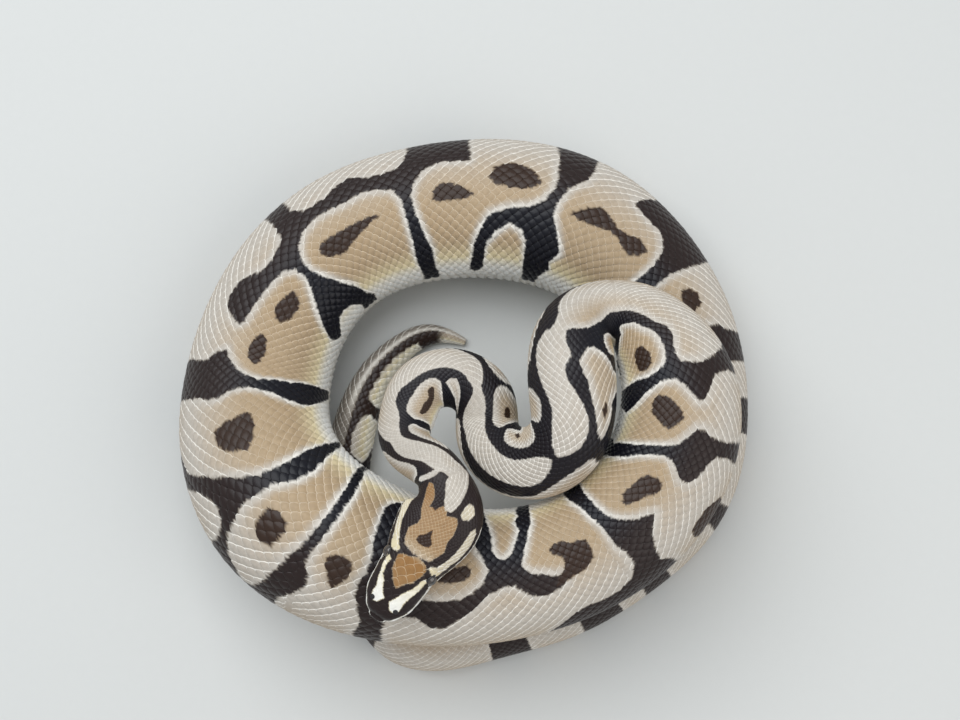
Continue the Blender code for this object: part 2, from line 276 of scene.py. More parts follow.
def reach(turn):
    """Half width of one side of the body, held inside the bend's radius where it folds that way."""
    room = FOLD_REACH / np.maximum(turn, 1e-3)
    return HALF_WIDTH - smoothed(np.maximum(HALF_WIDTH - room, 0.0), REACH_EASE)


REACH_RIGHT = reach(TURN)
REACH_LEFT = reach(-TURN)


# The body rolls as it lies: where its back faces, as an angle from straight up, along its length.
BACK_FACES = ((0, 0), (40, -8), (55, -17), (65, 6), (75, 30), (85, 45), (100, 35), (110, 28), (116, 0),
              (122, -25), (140, -23), (155, -20), (165, -6), (175, 3), (185, 22), (195, 32), (215, 34),
              (235, 40), (260, 45), (400, 50), (690, 52), (900, 50), (940, 30), (1000, 8))
STEPS_ROUND = 240
HALF_TURN_STEPS = 180
ALONG_STEP = 0.3
ANGLE_STEP = 0.012


def row_reader(field):
    """Function that reads a field of the axis at any distance from the snout."""
    return lambda along: np.stack([np.interp(along, ALONG, field[:, i]) for i in range(3)], axis=-1)


axis_at, right_at, up_at = (row_reader(field) for field in (AXIS, RIGHT, UP))


def surface(along, angle):
    """Points on the outside of the body; angle 0 is its top, positive on its right side."""
    along, angle = np.broadcast_arrays(np.asarray(along, float), np.asarray(angle, float))
    half_width = np.interp(along, ALONG, HALF_WIDTH)
    reach_right = np.interp(along, ALONG, REACH_RIGHT)
    reach_left = np.interp(along, ALONG, REACH_LEFT)
    crown = belly = read_off(HEIGHT_RATIO, along) * half_width
    on_head_part = along < HEAD_LENGTH
    in_head = np.clip(along, 0.0, HEAD_LENGTH)
    share = np.where(on_head_part, head_shape(1, in_head) / half_width, 1.0)
    crown = np.where(on_head_part, head_shape(2, in_head), crown)
    belly = np.where(on_head_part, head_shape(3, in_head), belly)
    boxy = np.where(on_head_part, head_shape(4, in_head), 2.0)
    across, height = np.sin(angle), np.cos(angle)
    power = np.where(height > 0, 2.0 / boxy, 1.0)
    aside = np.sign(across) * np.abs(across) ** power * np.where(across > 0, reach_right, reach_left) * share
    above = np.sign(height) * np.abs(height) ** power * np.where(height > 0, crown, belly)
    points = axis_at(along) + right_at(along) * aside[..., None] + up_at(along) * above[..., None]
    points[..., 2] = np.maximum(points[..., 2], 0.0)
    return points


def girth_tables():
    """Girth at every millimetre, and the angle at even shares of the way round from the back's middle."""
    turns = np.linspace(-np.pi, np.pi, 2 * HALF_TURN_STEPS + 1)
    back = np.radians(read_off(BACK_FACES, ALONG))
    outline = surface(ALONG[:, None], back[:, None] + turns[None])
    lengths = np.linalg.norm(np.diff(outline, axis=1), axis=2)
    walked = np.concatenate([np.zeros((len(ALONG), 1)), np.cumsum(lengths, axis=1)], axis=1)
    from_back = walked - walked[:, HALF_TURN_STEPS:HALF_TURN_STEPS + 1]
    left_shares = -0.5 * from_back / from_back[:, :1]
    right_shares = 0.5 * from_back / from_back[:, -1:]
    shares = np.where(from_back < 0, left_shares, right_shares)
    wanted = np.linspace(-0.5, 0.5, STEPS_ROUND + 1)
    angles = np.stack([np.interp(wanted, row, turns) for row in shares]) + back[:, None]
    return walked[:, -1], angles


GIRTH, ANGLE_TABLE = girth_tables()


def angle_at(along, share):
    """Angle on the section at a share of the way round, -0.5 to 0.5 from the back's middle."""
    row = np.clip(along, 0.0, len(ALONG) - 1.001)
    column = np.clip((share + 0.5) * STEPS_ROUND, 0.0, STEPS_ROUND - 0.001)
    i, j = row.astype(int), column.astype(int)
    a, b = row - i, column - j
    near = ANGLE_TABLE[i, j] * (1 - b) + ANGLE_TABLE[i, j + 1] * b
    far = ANGLE_TABLE[i + 1, j] * (1 - b) + ANGLE_TABLE[i + 1, j + 1] * b
    return near * (1 - a) + far * a


def outward(along, angle):
    """Unit normals of the body's outside."""
    forward = surface(along + ALONG_STEP, angle) - surface(along - ALONG_STEP, angle)
    round_it = surface(along, angle + ANGLE_STEP) - surface(along, angle - ANGLE_STEP)
    normal = np.cross(forward, round_it)
    return normal / np.maximum(np.linalg.norm(normal, axis=-1), 1e-9)[..., None]


def on_body(along, share, height):
    """Points at this height over the body's outside, never under the floor, in metres."""
    along = np.clip(along, 0.0, BODY_LENGTH)
    angle = angle_at(along, share)
    points = surface(along, angle) + outward(along, angle) * np.asarray(height)[..., None]
    points[..., 2] = np.maximum(points[..., 2], 0.0)
    return points * MM


# ---------------------------------------------------------------------------------------------
# Markings: pale patches on a blackish net, with brown spots inside them.
# Each is an outline of points, as distance from the snout and degrees from the top of the body.
# ---------------------------------------------------------------------------------------------
NECK_PATCHES = (
    ((48.7, -12), (48.8, 0), (48.3, 15), (48.5, 28), (49.2, 40), (49.8, 50), (51.5, 60), (52, 48), (51, 36),
     (50.4, 25), (50.1, 12), (50.3, 0), (50.5, -12)),
    ((38.5, -10), (42, -26), (44, -40), (46, -56), (47.5, -70), (49, -62), (50.5, -52), (56, -43),
     (58.5, -35), (61.7, -28), (66.7, -10), (69, -2), (77, 6), (80, 13), (82.5, 22), (85, 29), (88.5, 30),
     (90.5, 26), (92, 20), (95, 15), (98.5, 13), (103, 12), (107, 9), (110, 4), (112, -3), (114.5, -8),
     (116, -16), (117.5, -32), (119.5, -43), (122, -48), (127.5, -50), (131, -48), (134, -42), (140, -44),
     (154.5, -43), (157, -40), (159.5, -32), (163, -17), (165, -5), (164, 4), (161, 7), (157.5, 5),
     (153, 0), (148, -1), (134, -1), (126, -4), (121.5, -2), (118, 0), (116, 5), (115.2, 16), (113.5, 34),
     (112, 48), (108.5, 62), (106, 75), (98, 90), (88, 100), (80, 100), (78.5, 86), (76.8, 72), (75, 62),
     (71.5, 41), (70.3, 33), (68.5, 30), (66, 30), (62.5, 26), (57.5, 18), (55, 13), (51.5, 10), (50, 5),
     (48.5, -6), (47, -13), (46, -3), (44, 3), (41, 5), (38.5, 0)),
    ((56, -58), (62, -43), (65, -37), (67.5, -28), (70, -22), (72.5, -20), (73.4, -27), (73.2, -38),
     (71.8, -50), (71.3, -62), (72, -72), (75, -85), (77, -100), (66, -106), (58, -90), (54.5, -70)),
    ((78.5, -100), (77.8, -82), (78.8, -70), (78, -60), (76.8, -28), (78, -17), (80.4, -3), (83.3, 2),
     (87, 2), (90, -1), (97.5, -2), (99.8, -6), (101.2, -15), (100.8, -30), (99.3, -60), (99.2, -80),
     (100, -100)),
    ((103.2, -17), (103.8, -24), (107, -41), (109, -48), (111, -58), (113.5, -67), (116, -73), (120, -77),
     (123, -74), (119, -70), (116, -63), (113.5, -51), (112.3, -40), (110.8, -28), (107.5, -8), (105, -10)),
    ((126, -66), (129, -58), (133, -58), (136, -63), (141, -79), (145, -81), (149, -78), (152, -74),
     (155.5, -66), (158.3, -55), (160.5, -47), (163.5, -42), (166.7, -42), (169, -48), (169.5, -57),
     (168.7, -68), (169, -100), (150, -108), (130, -106), (125, -85)),
    ((173, -50), (174.2, -56), (177.5, -60), (181, -60), (184, -75), (186, -100), (193, -100), (190, -79),
     (190.3, -67), (192.7, -57), (194.3, -45), (195.5, -28), (195, -17), (191, -6), (188.5, -10),
     (186, -16), (181, -22), (177, -31), (174.5, -38)),
    ((195.5, -55), (198, -46), (202, -42), (206, -47), (211, -53), (218, -58), (226, -60), (228, -70),
     (226, -100), (200, -100)),
    ((166.6, -5), (168.3, -15), (170.8, -22), (173.5, -24), (176, -21), (178.5, -14), (181, -6), (185.5, 8),
     (188, 12), (190, 11), (192.6, 3), (195, 8), (197.5, 12), (199.5, 13), (200.4, 5), (200.8, -7),
     (202, -16), (204.5, -22), (209.3, -25), (213, -22), (219, -12), (223, -9), (231, -2), (238, 1),
     (242, 8), (244.3, 7), (248, 0), (250.3, -2), (252.3, 0), (254, 18), (253.5, 30), (251.8, 60),
     (250, 80), (247, 100), (235, 92), (220, 80), (212, 62), (207, 43), (204.8, 34), (202, 32), (200.4, 36),
     (200, 45), (197.7, 53), (195.8, 57), (191.7, 55), (188, 50), (185, 45), (181.7, 38), (178, 32),
     (174, 29), (170.8, 22), (168.3, 12)),
    ((120, 17), (122, 12), (125, 11), (130, 11), (133.5, 12), (137, 17), (139, 24), (139.6, 32),
     (138.3, 50), (137, 58), (133, 65), (131, 75), (130, 95), (125, 95), (122, 70), (119.5, 52),
     (118.7, 38), (118.9, 26)),
    ((112.6, 72), (113.3, 60), (114.6, 51), (116, 46), (117.6, 48), (118.9, 58), (119.6, 72), (121, 95),
     (113, 95)),
    ((142, 39), (143, 33), (146.3, 20), (150, 19), (155, 21), (160, 25), (163, 31), (165.5, 37), (167, 46),
     (168, 57), (168.8, 74), (168, 95), (152, 95), (146, 80), (147, 72), (151, 65), (153, 58), (150.5, 56),
     (146.5, 52), (143.5, 47)),
    ((172.5, 60), (173, 53), (174.5, 50), (178, 50), (181, 52), (183, 58), (184.7, 66), (186.3, 80),
     (187, 100), (172, 100), (171, 82), (172.2, 72)),
    ((190.5, 100), (192, 85), (194.5, 72), (198, 68), (203, 68), (206.5, 72), (208, 84), (208.5, 100)),
    ((53.6, 50), (54.5, 40), (55.5, 34), (57.5, 32), (59.8, 33), (62, 38), (65, 46), (68, 55), (70.3, 64),
     (72, 77), (73.5, 95), (60, 100), (55, 75)),
)
COIL_PATCHES = (
    ((236, -100), (235, -88), (235.5, -76), (233.5, -65), (231, -53), (230, -43), (227, -36), (227, -31),
     (230, -24), (233, -17), (238, -12), (240, -8), (243, -7), (248, -10), (251, -15), (252.5, -24),
     (253.5, -38), (253, -52), (254, -70), (255, -86), (255, -100)),
    ((263.5, -100), (264, -88), (266.5, -76), (268, -68), (264.5, -57), (260, -46), (257, -31), (256, -22),
     (256.5, -10), (258.5, -3), (263, 9), (263, 15), (258, 28), (257, 38), (257, 54), (258, 72), (257, 100),
     (273, 100), (273, 70), (273.5, 42), (272.5, 25), (271, 16), (271, 10), (273.5, 4), (276.5, -2),
     (278.5, -13), (280, -25), (282, -38), (285, -60), (286.5, -67), (284.5, -75), (285, -100)),
    ((294.5, -100), (294.5, -72), (293, -60), (289.5, -42), (286.5, -34), (284, -23), (282, -11),
     (282.5, -3), (287, 12), (287, 19), (284.5, 25), (279, 32), (277.5, 37), (277, 50), (278, 72),
     (277, 100), (303, 100), (305.5, 62), (307.5, 50), (306.5, 36), (304, 22), (299.5, 12), (301.5, 8),
     (304.5, 4), (308, -5), (310.5, -15), (311.5, -30), (312, -47), (311.5, -60), (312, -100)),
    ((319.5, -100), (320, -62), (318.5, -48), (316.5, -38), (315.5, -25), (314, -10), (314, 12), (313, 22),
     (313.5, 36), (316.5, 48), (321, 54), (325.5, 55), (330.5, 53), (334.5, 58), (338, 66), (342, 85),
     (344, 105), (386, 105), (387, 80), (387, 55), (386, 44), (381, 38), (378, 39), (374, 48), (370.5, 48),
     (366, 37), (363, 32), (357.5, 17), (353, 12), (349, 12), (345, 22), (342, 26), (339, 26), (336, 24),
     (333, 20), (331, 12), (335, 12), (338.5, 8), (343, 4), (345.5, -3), (345, -9), (341, -31),
     (338.5, -44), (338, -58), (336.5, -100)),
    ((342.5, -100), (343, -75), (344, -67), (343.5, -57), (345, -48), (344, -37), (348, -17), (351, -11),
     (353.5, -13), (355, -20), (355, -32), (357, -56), (358, -75), (358, -100)),
    ((357, -4), (358.5, -13), (360.5, -20), (362, -35), (362.5, -65), (363, -100), (384, -100), (385, -60),
     (384.5, -25), (385, 5), (382, 19), (377, 22), (371, 22), (366, 20), (362.5, 15), (359, 8)),
    ((386, -100), (386, -62), (389, -54), (392, -52), (395, -49), (396.5, -40), (396, -16), (394.5, 0),
     (394.5, 9), (396, 19), (396, 30), (394, 42), (393, 53), (394.5, 70), (396, 100), (417, 100), (416, 74),
     (415, 62), (411, 43), (409.5, 36), (410, 30), (412, 22), (412, 13), (410, -18), (409.5, -40),
     (411, -58), (412.5, -70), (412, -100)),
    ((416.5, -100), (416, -68), (415, -55), (413.5, -42), (413.5, -15), (414.5, 5), (417.5, 31), (420, 57),
     (422, 72), (424.5, 82), (427, 71), (431, 51), (432, 36), (433, 18), (431.5, -5), (429, -15),
     (427.5, -23), (426.5, -35), (428, -47), (431, -66), (433, -75), (438, -84), (440, -100)),
    ((433.5, 52), (434.5, 44), (437, 40), (440, 41), (442, 46), (445, 54), (447.5, 64), (450, 76),
     (453, 100), (438, 100), (435.5, 75), (434, 61)),
    ((445, -100), (440, -85), (436.5, -70), (435.5, -55), (434.5, -24), (435, -10), (436.5, 2), (441.5, 22),
     (445.5, 37), (451, 60), (456, 70), (462, 85), (466, 105), (476, 105), (474.5, 75), (471, 50),
     (469, 37), (466.5, 26), (466, 18), (468, 8), (468, -4), (466, -16), (463, -28), (460.5, -37),
     (459, -47), (460.5, -57), (464, -64), (469, -72), (475, -82), (478, -100)),
    ((486, -100), (481, -80), (478.5, -69), (476, -54), (472.5, -36), (472, -12), (474, -2), (478, 8),
     (484, 16), (489, 21), (487.5, 28), (484, 37), (485, 50), (486.5, 65), (488, 105), (531, 105),
     (531.5, 60), (531, 38), (529.5, 25), (527, 21), (522.5, 19), (518, 21), (515.5, 28), (513, 34),
     (509, 38), (505, 36), (501.5, 26), (499.5, 18), (501, 14), (506, 12), (514, 9), (521.5, 5),
     (524.5, -2), (524.5, -14), (521, -25), (517, -35), (512, -48), (508.5, -62), (510.5, -71),
     (513.5, -74), (516, -66), (521, -58), (525, -58), (529, -62), (533, -71), (535, -100)),
    ((546, -100), (543, -82), (543, -70), (539.5, -63), (537, -50), (532.5, -37), (529.5, -25),
     (527.5, -12), (528, -3), (530.5, 7), (535, 15), (541.5, 18), (551, 16), (558, 18), (563, 16),
     (567.5, 12), (570, 2), (570.5, -35), (570, -52), (571.5, -72), (571, -100)),
    ((538, 100), (538, 58), (537.5, 44), (539, 34), (541.5, 30), (547, 30), (550, 34), (555.5, 40),
     (558.5, 36), (562, 31), (567, 30), (571, 32), (574, 41), (575.5, 55), (575.5, 100)),
    ((577, -100), (579, -78), (578, -66), (578, -48), (576, -33), (574, -12), (573.5, 2), (575.5, 13),
     (579, 23), (585, 30), (594.5, 28), (595, 33), (594.5, 48), (595, 105), (618, 105), (620, 66),
     (621.5, 47), (622, 30), (623, 17), (622.5, 7), (620, -3), (616, -9), (608, -13), (602, -18),
     (598.5, -29), (595.5, -43), (593, -72), (596, -77), (599, -72), (600.5, -43), (604.5, -32),
     (609.5, -24), (614, -28), (617, -37), (617.5, -55), (620, -100)),
    ((624, -100), (625.5, -78), (628.5, -63), (630.5, -57), (629, -50), (632.5, -40), (631, -33),
     (627.5, -22), (625, -12), (625, -1), (627, 13), (631, 26), (632, 38), (631.5, 75), (632, 105),
     (651, 105), (650, 65), (646.5, 37), (647, 32), (652, 30), (658.5, 30), (662.5, 20), (665, 4),
     (665.5, -15), (666.5, -50), (667, -100)),
    ((674, -100), (673, -50), (672, -15), (671, 2), (670.5, 12), (672, 45), (672, 105), (693, 105),
     (693.5, 65), (692.5, 48), (690.5, 36), (690.5, 24), (692, 5), (691, -40), (692, -100)),
)
TAIL_PATCHES = (
    ((923.8, -42), (924.6, -52), (926.7, -62), (930, -75), (932, -100), (941, -100), (941, -60), (942, -37),
     (941.3, -25), (939.6, -17), (936.7, -10), (933.3, -4), (930, -7), (926.7, -10), (925.4, -20)),
    ((946, -100), (946, -45), (947.5, -23), (950, -16), (952, -22), (955, -17), (958, -23), (961, -17),
     (964, -24), (967, -18), (970, -26), (974, -28), (977.5, -35), (979, -70), (979, -100)),
)
SPOTS = (
    ((81.5, -37), (83.5, -42), (86.5, -45), (90, -47), (93.5, -44), (95, -40), (96.5, -32), (97.5, -23),
     (97, -19), (94.5, -20), (94, -25), (92.5, -31), (90, -32), (88.5, -28), (85, -28), (82, -28),
     (81.5, -32)),
    ((177, -45), (179, -51), (181, -45), (179, -39)),
    ((124, 41), (125, 35), (127.5, 33), (130, 35), (131, 41), (130, 47), (127.5, 49), (125, 47)),
    ((150, 43), (152.5, 37), (155, 43), (152.5, 49)),
    ((241.5, -38), (243, -45), (247, -48), (250, -46), (251, -38), (249.5, -29), (246, -26), (242, -30)),
    ((260.5, -28), (261.5, -33), (264, -35), (267, -34), (269, -28), (271, -22), (272.5, -15), (270.5, -9),
     (268, -3), (266, -6), (263, -14), (261, -21)),
    ((290, 54), (294, 52), (297, 56), (298, 68), (296, 90), (288, 90), (286, 70), (288, 60)),
    ((291, -14), (293, -18), (297, -19), (301.5, -21), (302.5, -18), (304, -14), (303, -10), (299, -5),
     (297, -4), (295.5, 1), (293, 3), (291, 1), (290, -4)),
    ((321, -8), (323, -10), (327, -12), (329.5, -16), (332.5, -16), (335, -12), (334, -7), (331.5, -3),
     (331, 2), (332, 8), (334.5, 12), (336, 20), (333.5, 20), (330.5, 17), (327, 16), (324, 13), (321.5, 8),
     (321, 0)),
    ((362.5, -4), (364, -8), (368, -6), (372, 1), (374, 6), (370, 7), (365, 5), (363, 1)),
    ((399, 13), (400, 7), (402.5, 5), (405.5, 6), (407.5, 10), (407, 17), (405.5, 23), (403, 30),
     (401.5, 25), (399.5, 18)),
    ((420.5, 12), (421.5, 5), (425, 3), (428, 7), (428, 16), (427, 24), (424.5, 28), (421.5, 25),
     (421, 18)),
    ((444.5, -1), (447.5, -7), (451.5, -10), (456, -8), (457.5, -4), (456.5, 4), (456, 15), (455, 22),
     (450.5, 20), (447.5, 14), (445.5, 6)),
    ((481, -4), (484, -8), (490, -10), (496, -8), (499, -3), (495, 2), (490, 4), (485, 2)),
    ((505, -12), (508, -19), (513, -22), (516, -19), (518.5, -11), (514.5, -7), (509.5, -4), (506.5, -8)),
    ((534.5, -8), (536, -15), (541, -20), (546, -18), (552, -13), (560.5, -6), (559, -4), (545, -4),
     (539.5, -2), (536, -3)),
    ((581, -3), (583, -6), (588, -6), (593, -6), (596, -2), (592.5, 4), (587.5, 9), (584, 8), (581.5, 3)),
    ((601, 12), (603, 6), (608, 4), (613, 4), (617, 8), (618.5, 12), (615.5, 20), (611, 26), (606.5, 26),
     (602.5, 22)),
    ((630.5, -5), (634, -8), (640, -6), (645, -2), (648.5, -2), (651, -5), (656, -7), (659, 0), (660, 7),
     (655.5, 11), (650.5, 5), (646.5, 4), (642, 9), (638.5, 11), (635, 5)),
    ((677, 14), (679, 10), (684, 9), (685, 17), (683, 27), (679.5, 27), (677.5, 21)),
)
HEAD_PALE = (
    ((4, -14), (6.2, -3), (10.9, -15), (13.6, -27), (17.3, -35), (18.2, -41), (18, -47), (14.5, -46),
     (12.3, -41), (10.5, -34), (8, -31), (6.4, -35), (4.8, -37), (3.8, -28)),
    ((4, 14), (6.4, 3), (8.2, 13), (10.9, 21), (12.7, 33), (15, 37), (17.7, 33), (18.6, 45), (18.2, 51),
     (15, 50), (10.9, 40), (8.2, 32), (6.4, 36), (4.8, 37), (3.8, 27)),
    ((19.3, -52), (20.9, -61), (23.6, -62), (29, -69), (33.6, -69), (36.4, -67), (37.3, -59), (36.4, -51),
     (34.5, -49), (29.5, -49), (25.5, -46), (23.2, -41), (22.3, -31), (21.4, -29), (20.5, -41)),
    ((20.5, 29), (21.8, 25), (22.7, 33), (25.5, 43), (29, 51), (33.6, 53), (37.3, 57), (40, 62), (41.5, 71),
     (42, 78), (38, 80), (33, 76), (29, 68), (25.5, 62), (22, 57), (20.4, 50), (20.2, 38)),
    ((37.8, -30), (38.2, -40), (39.5, -50), (41, -47), (41.3, -38), (40.5, -30), (38.7, -24)),
)
HEAD_GOLD = (
    ((10.9, -1), (13.6, -9), (15, -19), (18.2, -27), (20.5, -29), (21.8, -21), (22.3, -11), (22.7, -3),
     (21.5, 4), (20.9, 17), (20, 24), (18.2, 23), (15.5, 19), (13.2, 9)),
    ((23.2, -21), (25.5, -27), (28.2, -31), (31, -25), (33.6, -27), (36.4, -25), (37.7, -21), (37.7, -15),
     (37.3, -5), (39, -3), (39.5, 4), (38.5, 10), (38, 22), (42, 22), (46.5, 23), (47.5, 30), (46, 40),
     (43, 43), (40, 38), (36, 30), (33, 22), (31, 22), (28.5, 31), (25.5, 29), (23.6, 23), (23.2, 13),
     (22.6, 5), (22.8, -6)),
)
HEAD_DARK = (
    ((26.2, -1), (26.8, -8), (28.2, -9), (29.5, -3), (32, 0), (29.5, 5), (28.2, 11), (26.6, 11), (26.2, 5)),
    ((37.4, 11), (38.6, 9), (40.4, 14), (40, 19), (38.4, 19)),
)
# Lower turn, mostly under the upper one: where each pale band starts and stops.
LOWER_BANDS = (
    (702, 713), (723, 743), (749, 767), (776, 785), (798, 816), (829, 862), (871, 887), (896, 916),
)
BAND_CORNERS = 24
BAND_MIDDLE = 20        # degrees from the top, and how far a band reaches on each side of that
BAND_SPREAD = 150
RUN_OFF = 93            # a patch that reaches this angle carries on down the flank
RUN_OFF_STRETCH = 6
MEAN_RADIUS = 0.93      # mean radius of a section against its half width
NEAR = 4                # millimetres beyond a patch within which its distance is worked out
FADE = 0.3              # half width of the fade at an outline on the body, and on the head
HEAD_FADE = 0.2

# Where tones come and go: degrees down the flank from the middle of the back.
EDGE_COMES = (35, 85)
# Tan comes in down the flank; above it the pale stays grey-beige, partly painted sky reflection.
TAN_COMES = (-5, 60)
TAN_GOES = (100, 125)
BELLY_COMES = (88, 124)
# Below this the net's brown gives way to blue-black, whose blue is painted sky reflection.
BROWN_GOES = (25, 70)
# The same along the body, in millimetres from the snout.
NECK_COMES = (50, 80)
NECK_GOES = (200, 240)
TAIL_COMES = (920, 930)
WHITE_ROW_COMES = (935, 950)
TIP_COMES = (986, 991)
EDGE_WIDTH = 1.5        # width of the paler edge of a patch
TAN_DEPTH = (0.5, 3.5)  # distance inside a patch over which its tan comes
PLATES_FROM = (0.375, 0.39)         # share of the way round where the belly plates begin

# Warmth of the dark parts; the pale parts go from cream at 0 to golden brown at 1.
SPOT_WARMTH = 0.5
NET_WARMTH = 0.25
HEAD_NET_WARMTH = 0.22
TAIL_DARK_WARMTH = 0.35
TAIL_PALE_WARMTH = 0.1
TAN_WARMTH = 0.5
NECK_TAN = 0.7
NECK_NET = 0.3          # share of the net's warmth that is left on the neck
TAN_LOSS = 0.6          # share of the tan that is lost towards the belly
FAINT_EDGE = 0.1        # strength of a patch's pale edge on the middle of the back

WHITE_ROW_AT = 22       # degrees from the top, and how wide the row is
WHITE_ROW_WIDTH = 9
WHITE_ROW_EDGE = 0.8
DRAB_SIDE = (8, 12)     # degrees on the right over which the tail's drab side comes in
DRAB_TONE = 0.5
CREAM_SIDE = (10, 50)   # and its cream side, on the left
CREAM = 0.75
TIP_TONE = 0.9

# The head's own marks by distance from the snout: how far the mouth line lies under the axis, where
# the pale lip starts in degrees from the top, and how strong gold and stripes are.
MOUTH_LINE = ((0.0, 1.1), (4.0, 1.2), (12.0, 1.9), (22.0, 2.7), (31.0, 3.1), (37.5, 2.6))
MOUTH_END = 38.5
LIP_END = 38
MOUTH_SHADE_WIDTH = 0.22   # half width of the painted shade along the crease between the lips
LIP_TOP = ((0, 58), (6, 66), (14, 72), (19, 78), (21, 80), (38, 80))
THROAT_COMES = (112, 122)
GOLD_TONE = ((10, 1.0), (13, 0.9), (21, 1.0), (23, 0.35), (27, 0.75), (36, 0.80), (44, 0.95))
STRIPE_TONE = ((3, 1.0), (8, 0.9), (18, 0.6), (24, 0.45), (44, 0.4))
TEMPLE_START = 22
LEFT_TEMPLE = 0.6       # strength of the pale stripe there, on the left
LIP_FADE = 3
JAW_FADE = 6


def lower_band(start, stop):
    """Rounded outline of one pale band of the lower turn."""
    middle, half = (start + stop) / 2, (stop - start) / 2
    outline = []
    for turn in np.linspace(0, 2 * np.pi, BAND_CORNERS, endpoint=False):
        along = middle + half * np.sign(np.cos(turn)) * abs(np.cos(turn)) ** 0.5
        outline.append((along, BAND_MIDDLE + BAND_SPREAD * np.sin(turn)))
    return outline


def patch_distance(along, degrees, outlines, run_off=False):
    """How far inside the nearest patch each place is, in millimetres; negative outside all of them."""
    best = np.full(len(along), -99.0)
    size = np.interp(along, ALONG, HALF_WIDTH) * MEAN_RADIUS
    for outline in outlines:
        corners = np.array(outline, float)
        if run_off:
            over = np.maximum(np.abs(corners[:, 1]) - RUN_OFF, 0.0)
            corners[:, 1] += np.sign(corners[:, 1]) * over * RUN_OFF_STRETCH
        near = (along > corners[:, 0].min() - NEAR) & (along < corners[:, 0].max() + NEAR)
        if not near.any():
            continue
        corner_size = np.interp(corners[:, 0], ALONG, HALF_WIDTH) * MEAN_RADIUS
        x1, y1 = corners[:, 0], np.radians(corners[:, 1]) * corner_size
        dx, dy = np.roll(x1, -1) - x1, np.roll(y1, -1) - y1
        x, y = along[near][:, None], (np.radians(degrees[near]) * size[near])[:, None]
        share = np.clip(((x - x1) * dx + (y - y1) * dy) / (dx ** 2 + dy ** 2 + 1e-9), 0.0, 1.0)
        gap = np.hypot(x - x1 - share * dx, y - y1 - share * dy).min(axis=1)
        crossed = ((y1 > y) != (y1 + dy > y)) & (x < dx * (y - y1) / np.where(dy == 0, 1e-9, dy) + x1)
        signed = np.where(crossed.sum(axis=1) % 2 == 1, gap, -gap)
        best[near] = np.maximum(best[near], signed)
    return best


def eased(values, low, high):
    """Smooth step from 0 at low to 1 at high."""
    share = np.clip((values - low) / (high - low), 0.0, 1.0)
    return share * share * (3 - 2 * share)


def mouth_angle(along):
    """Angle of the mouth line from the top of the head, in degrees."""
    chin = head_shape(3, np.clip(along, 0.0, HEAD_LENGTH))
    return 90 + np.degrees(np.arcsin(np.clip(read_off(MOUTH_LINE, along) / chin, 0.0, 0.95)))


def trunk_marks(along, degrees, down, inside):
    """Pale, edge, belly and warmth of neck and trunk, given how far inside a patch each place is."""
    spot = patch_distance(along, degrees, SPOTS)
    pale = eased(inside, -FADE, FADE) * (1 - eased(spot, -FADE, FADE))
    edge = (1 - eased(inside, FADE, EDGE_WIDTH)) * (FAINT_EDGE + (1 - FAINT_EDGE) * eased(down, *EDGE_COMES))
    tan = TAN_WARMTH * eased(down, *TAN_COMES) * (1 - TAN_LOSS * eased(down, *TAN_GOES))
    tan = tan * eased(inside, *TAN_DEPTH) * np.where(along < NECK_GOES[0], NECK_TAN, 1.0)
    off_neck = np.maximum(eased(along, *NECK_GOES), 1 - eased(along, *NECK_COMES))
    net = NET_WARMTH * (1 - eased(down, *BROWN_GOES)) * (NECK_NET + (1 - NECK_NET) * off_neck)
    warm = np.where(pale < 0.5, np.where(spot > -FADE, SPOT_WARMTH, net), tan)
    return pale, edge, eased(down, *BELLY_COMES), warm


def tail_marks(along, degrees, marks):
    """The same with the tail's drab right side, its row of whitish scales and its pale tip."""
    pale, edge, belly, warm = marks
    tail = eased(along, *TAIL_COMES)
    white_row = np.exp(-((degrees - WHITE_ROW_AT) / WHITE_ROW_WIDTH) ** 2) * eased(along, *WHITE_ROW_COMES)
    drab = tail * eased(degrees, *DRAB_SIDE) * (DRAB_TONE + (1 - DRAB_TONE) * white_row)
    pale = np.maximum(pale, drab)
    warm = warm * (1 - tail) + tail * np.where(pale < 0.4, TAIL_DARK_WARMTH, TAIL_PALE_WARMTH)
    belly = belly * (1 - tail) + tail * CREAM * eased(-degrees, *CREAM_SIDE)
    pale = np.maximum(pale, TIP_TONE * eased(along, *TIP_COMES))
    return pale, np.where(drab > 0.5, WHITE_ROW_EDGE * white_row, edge), belly, warm


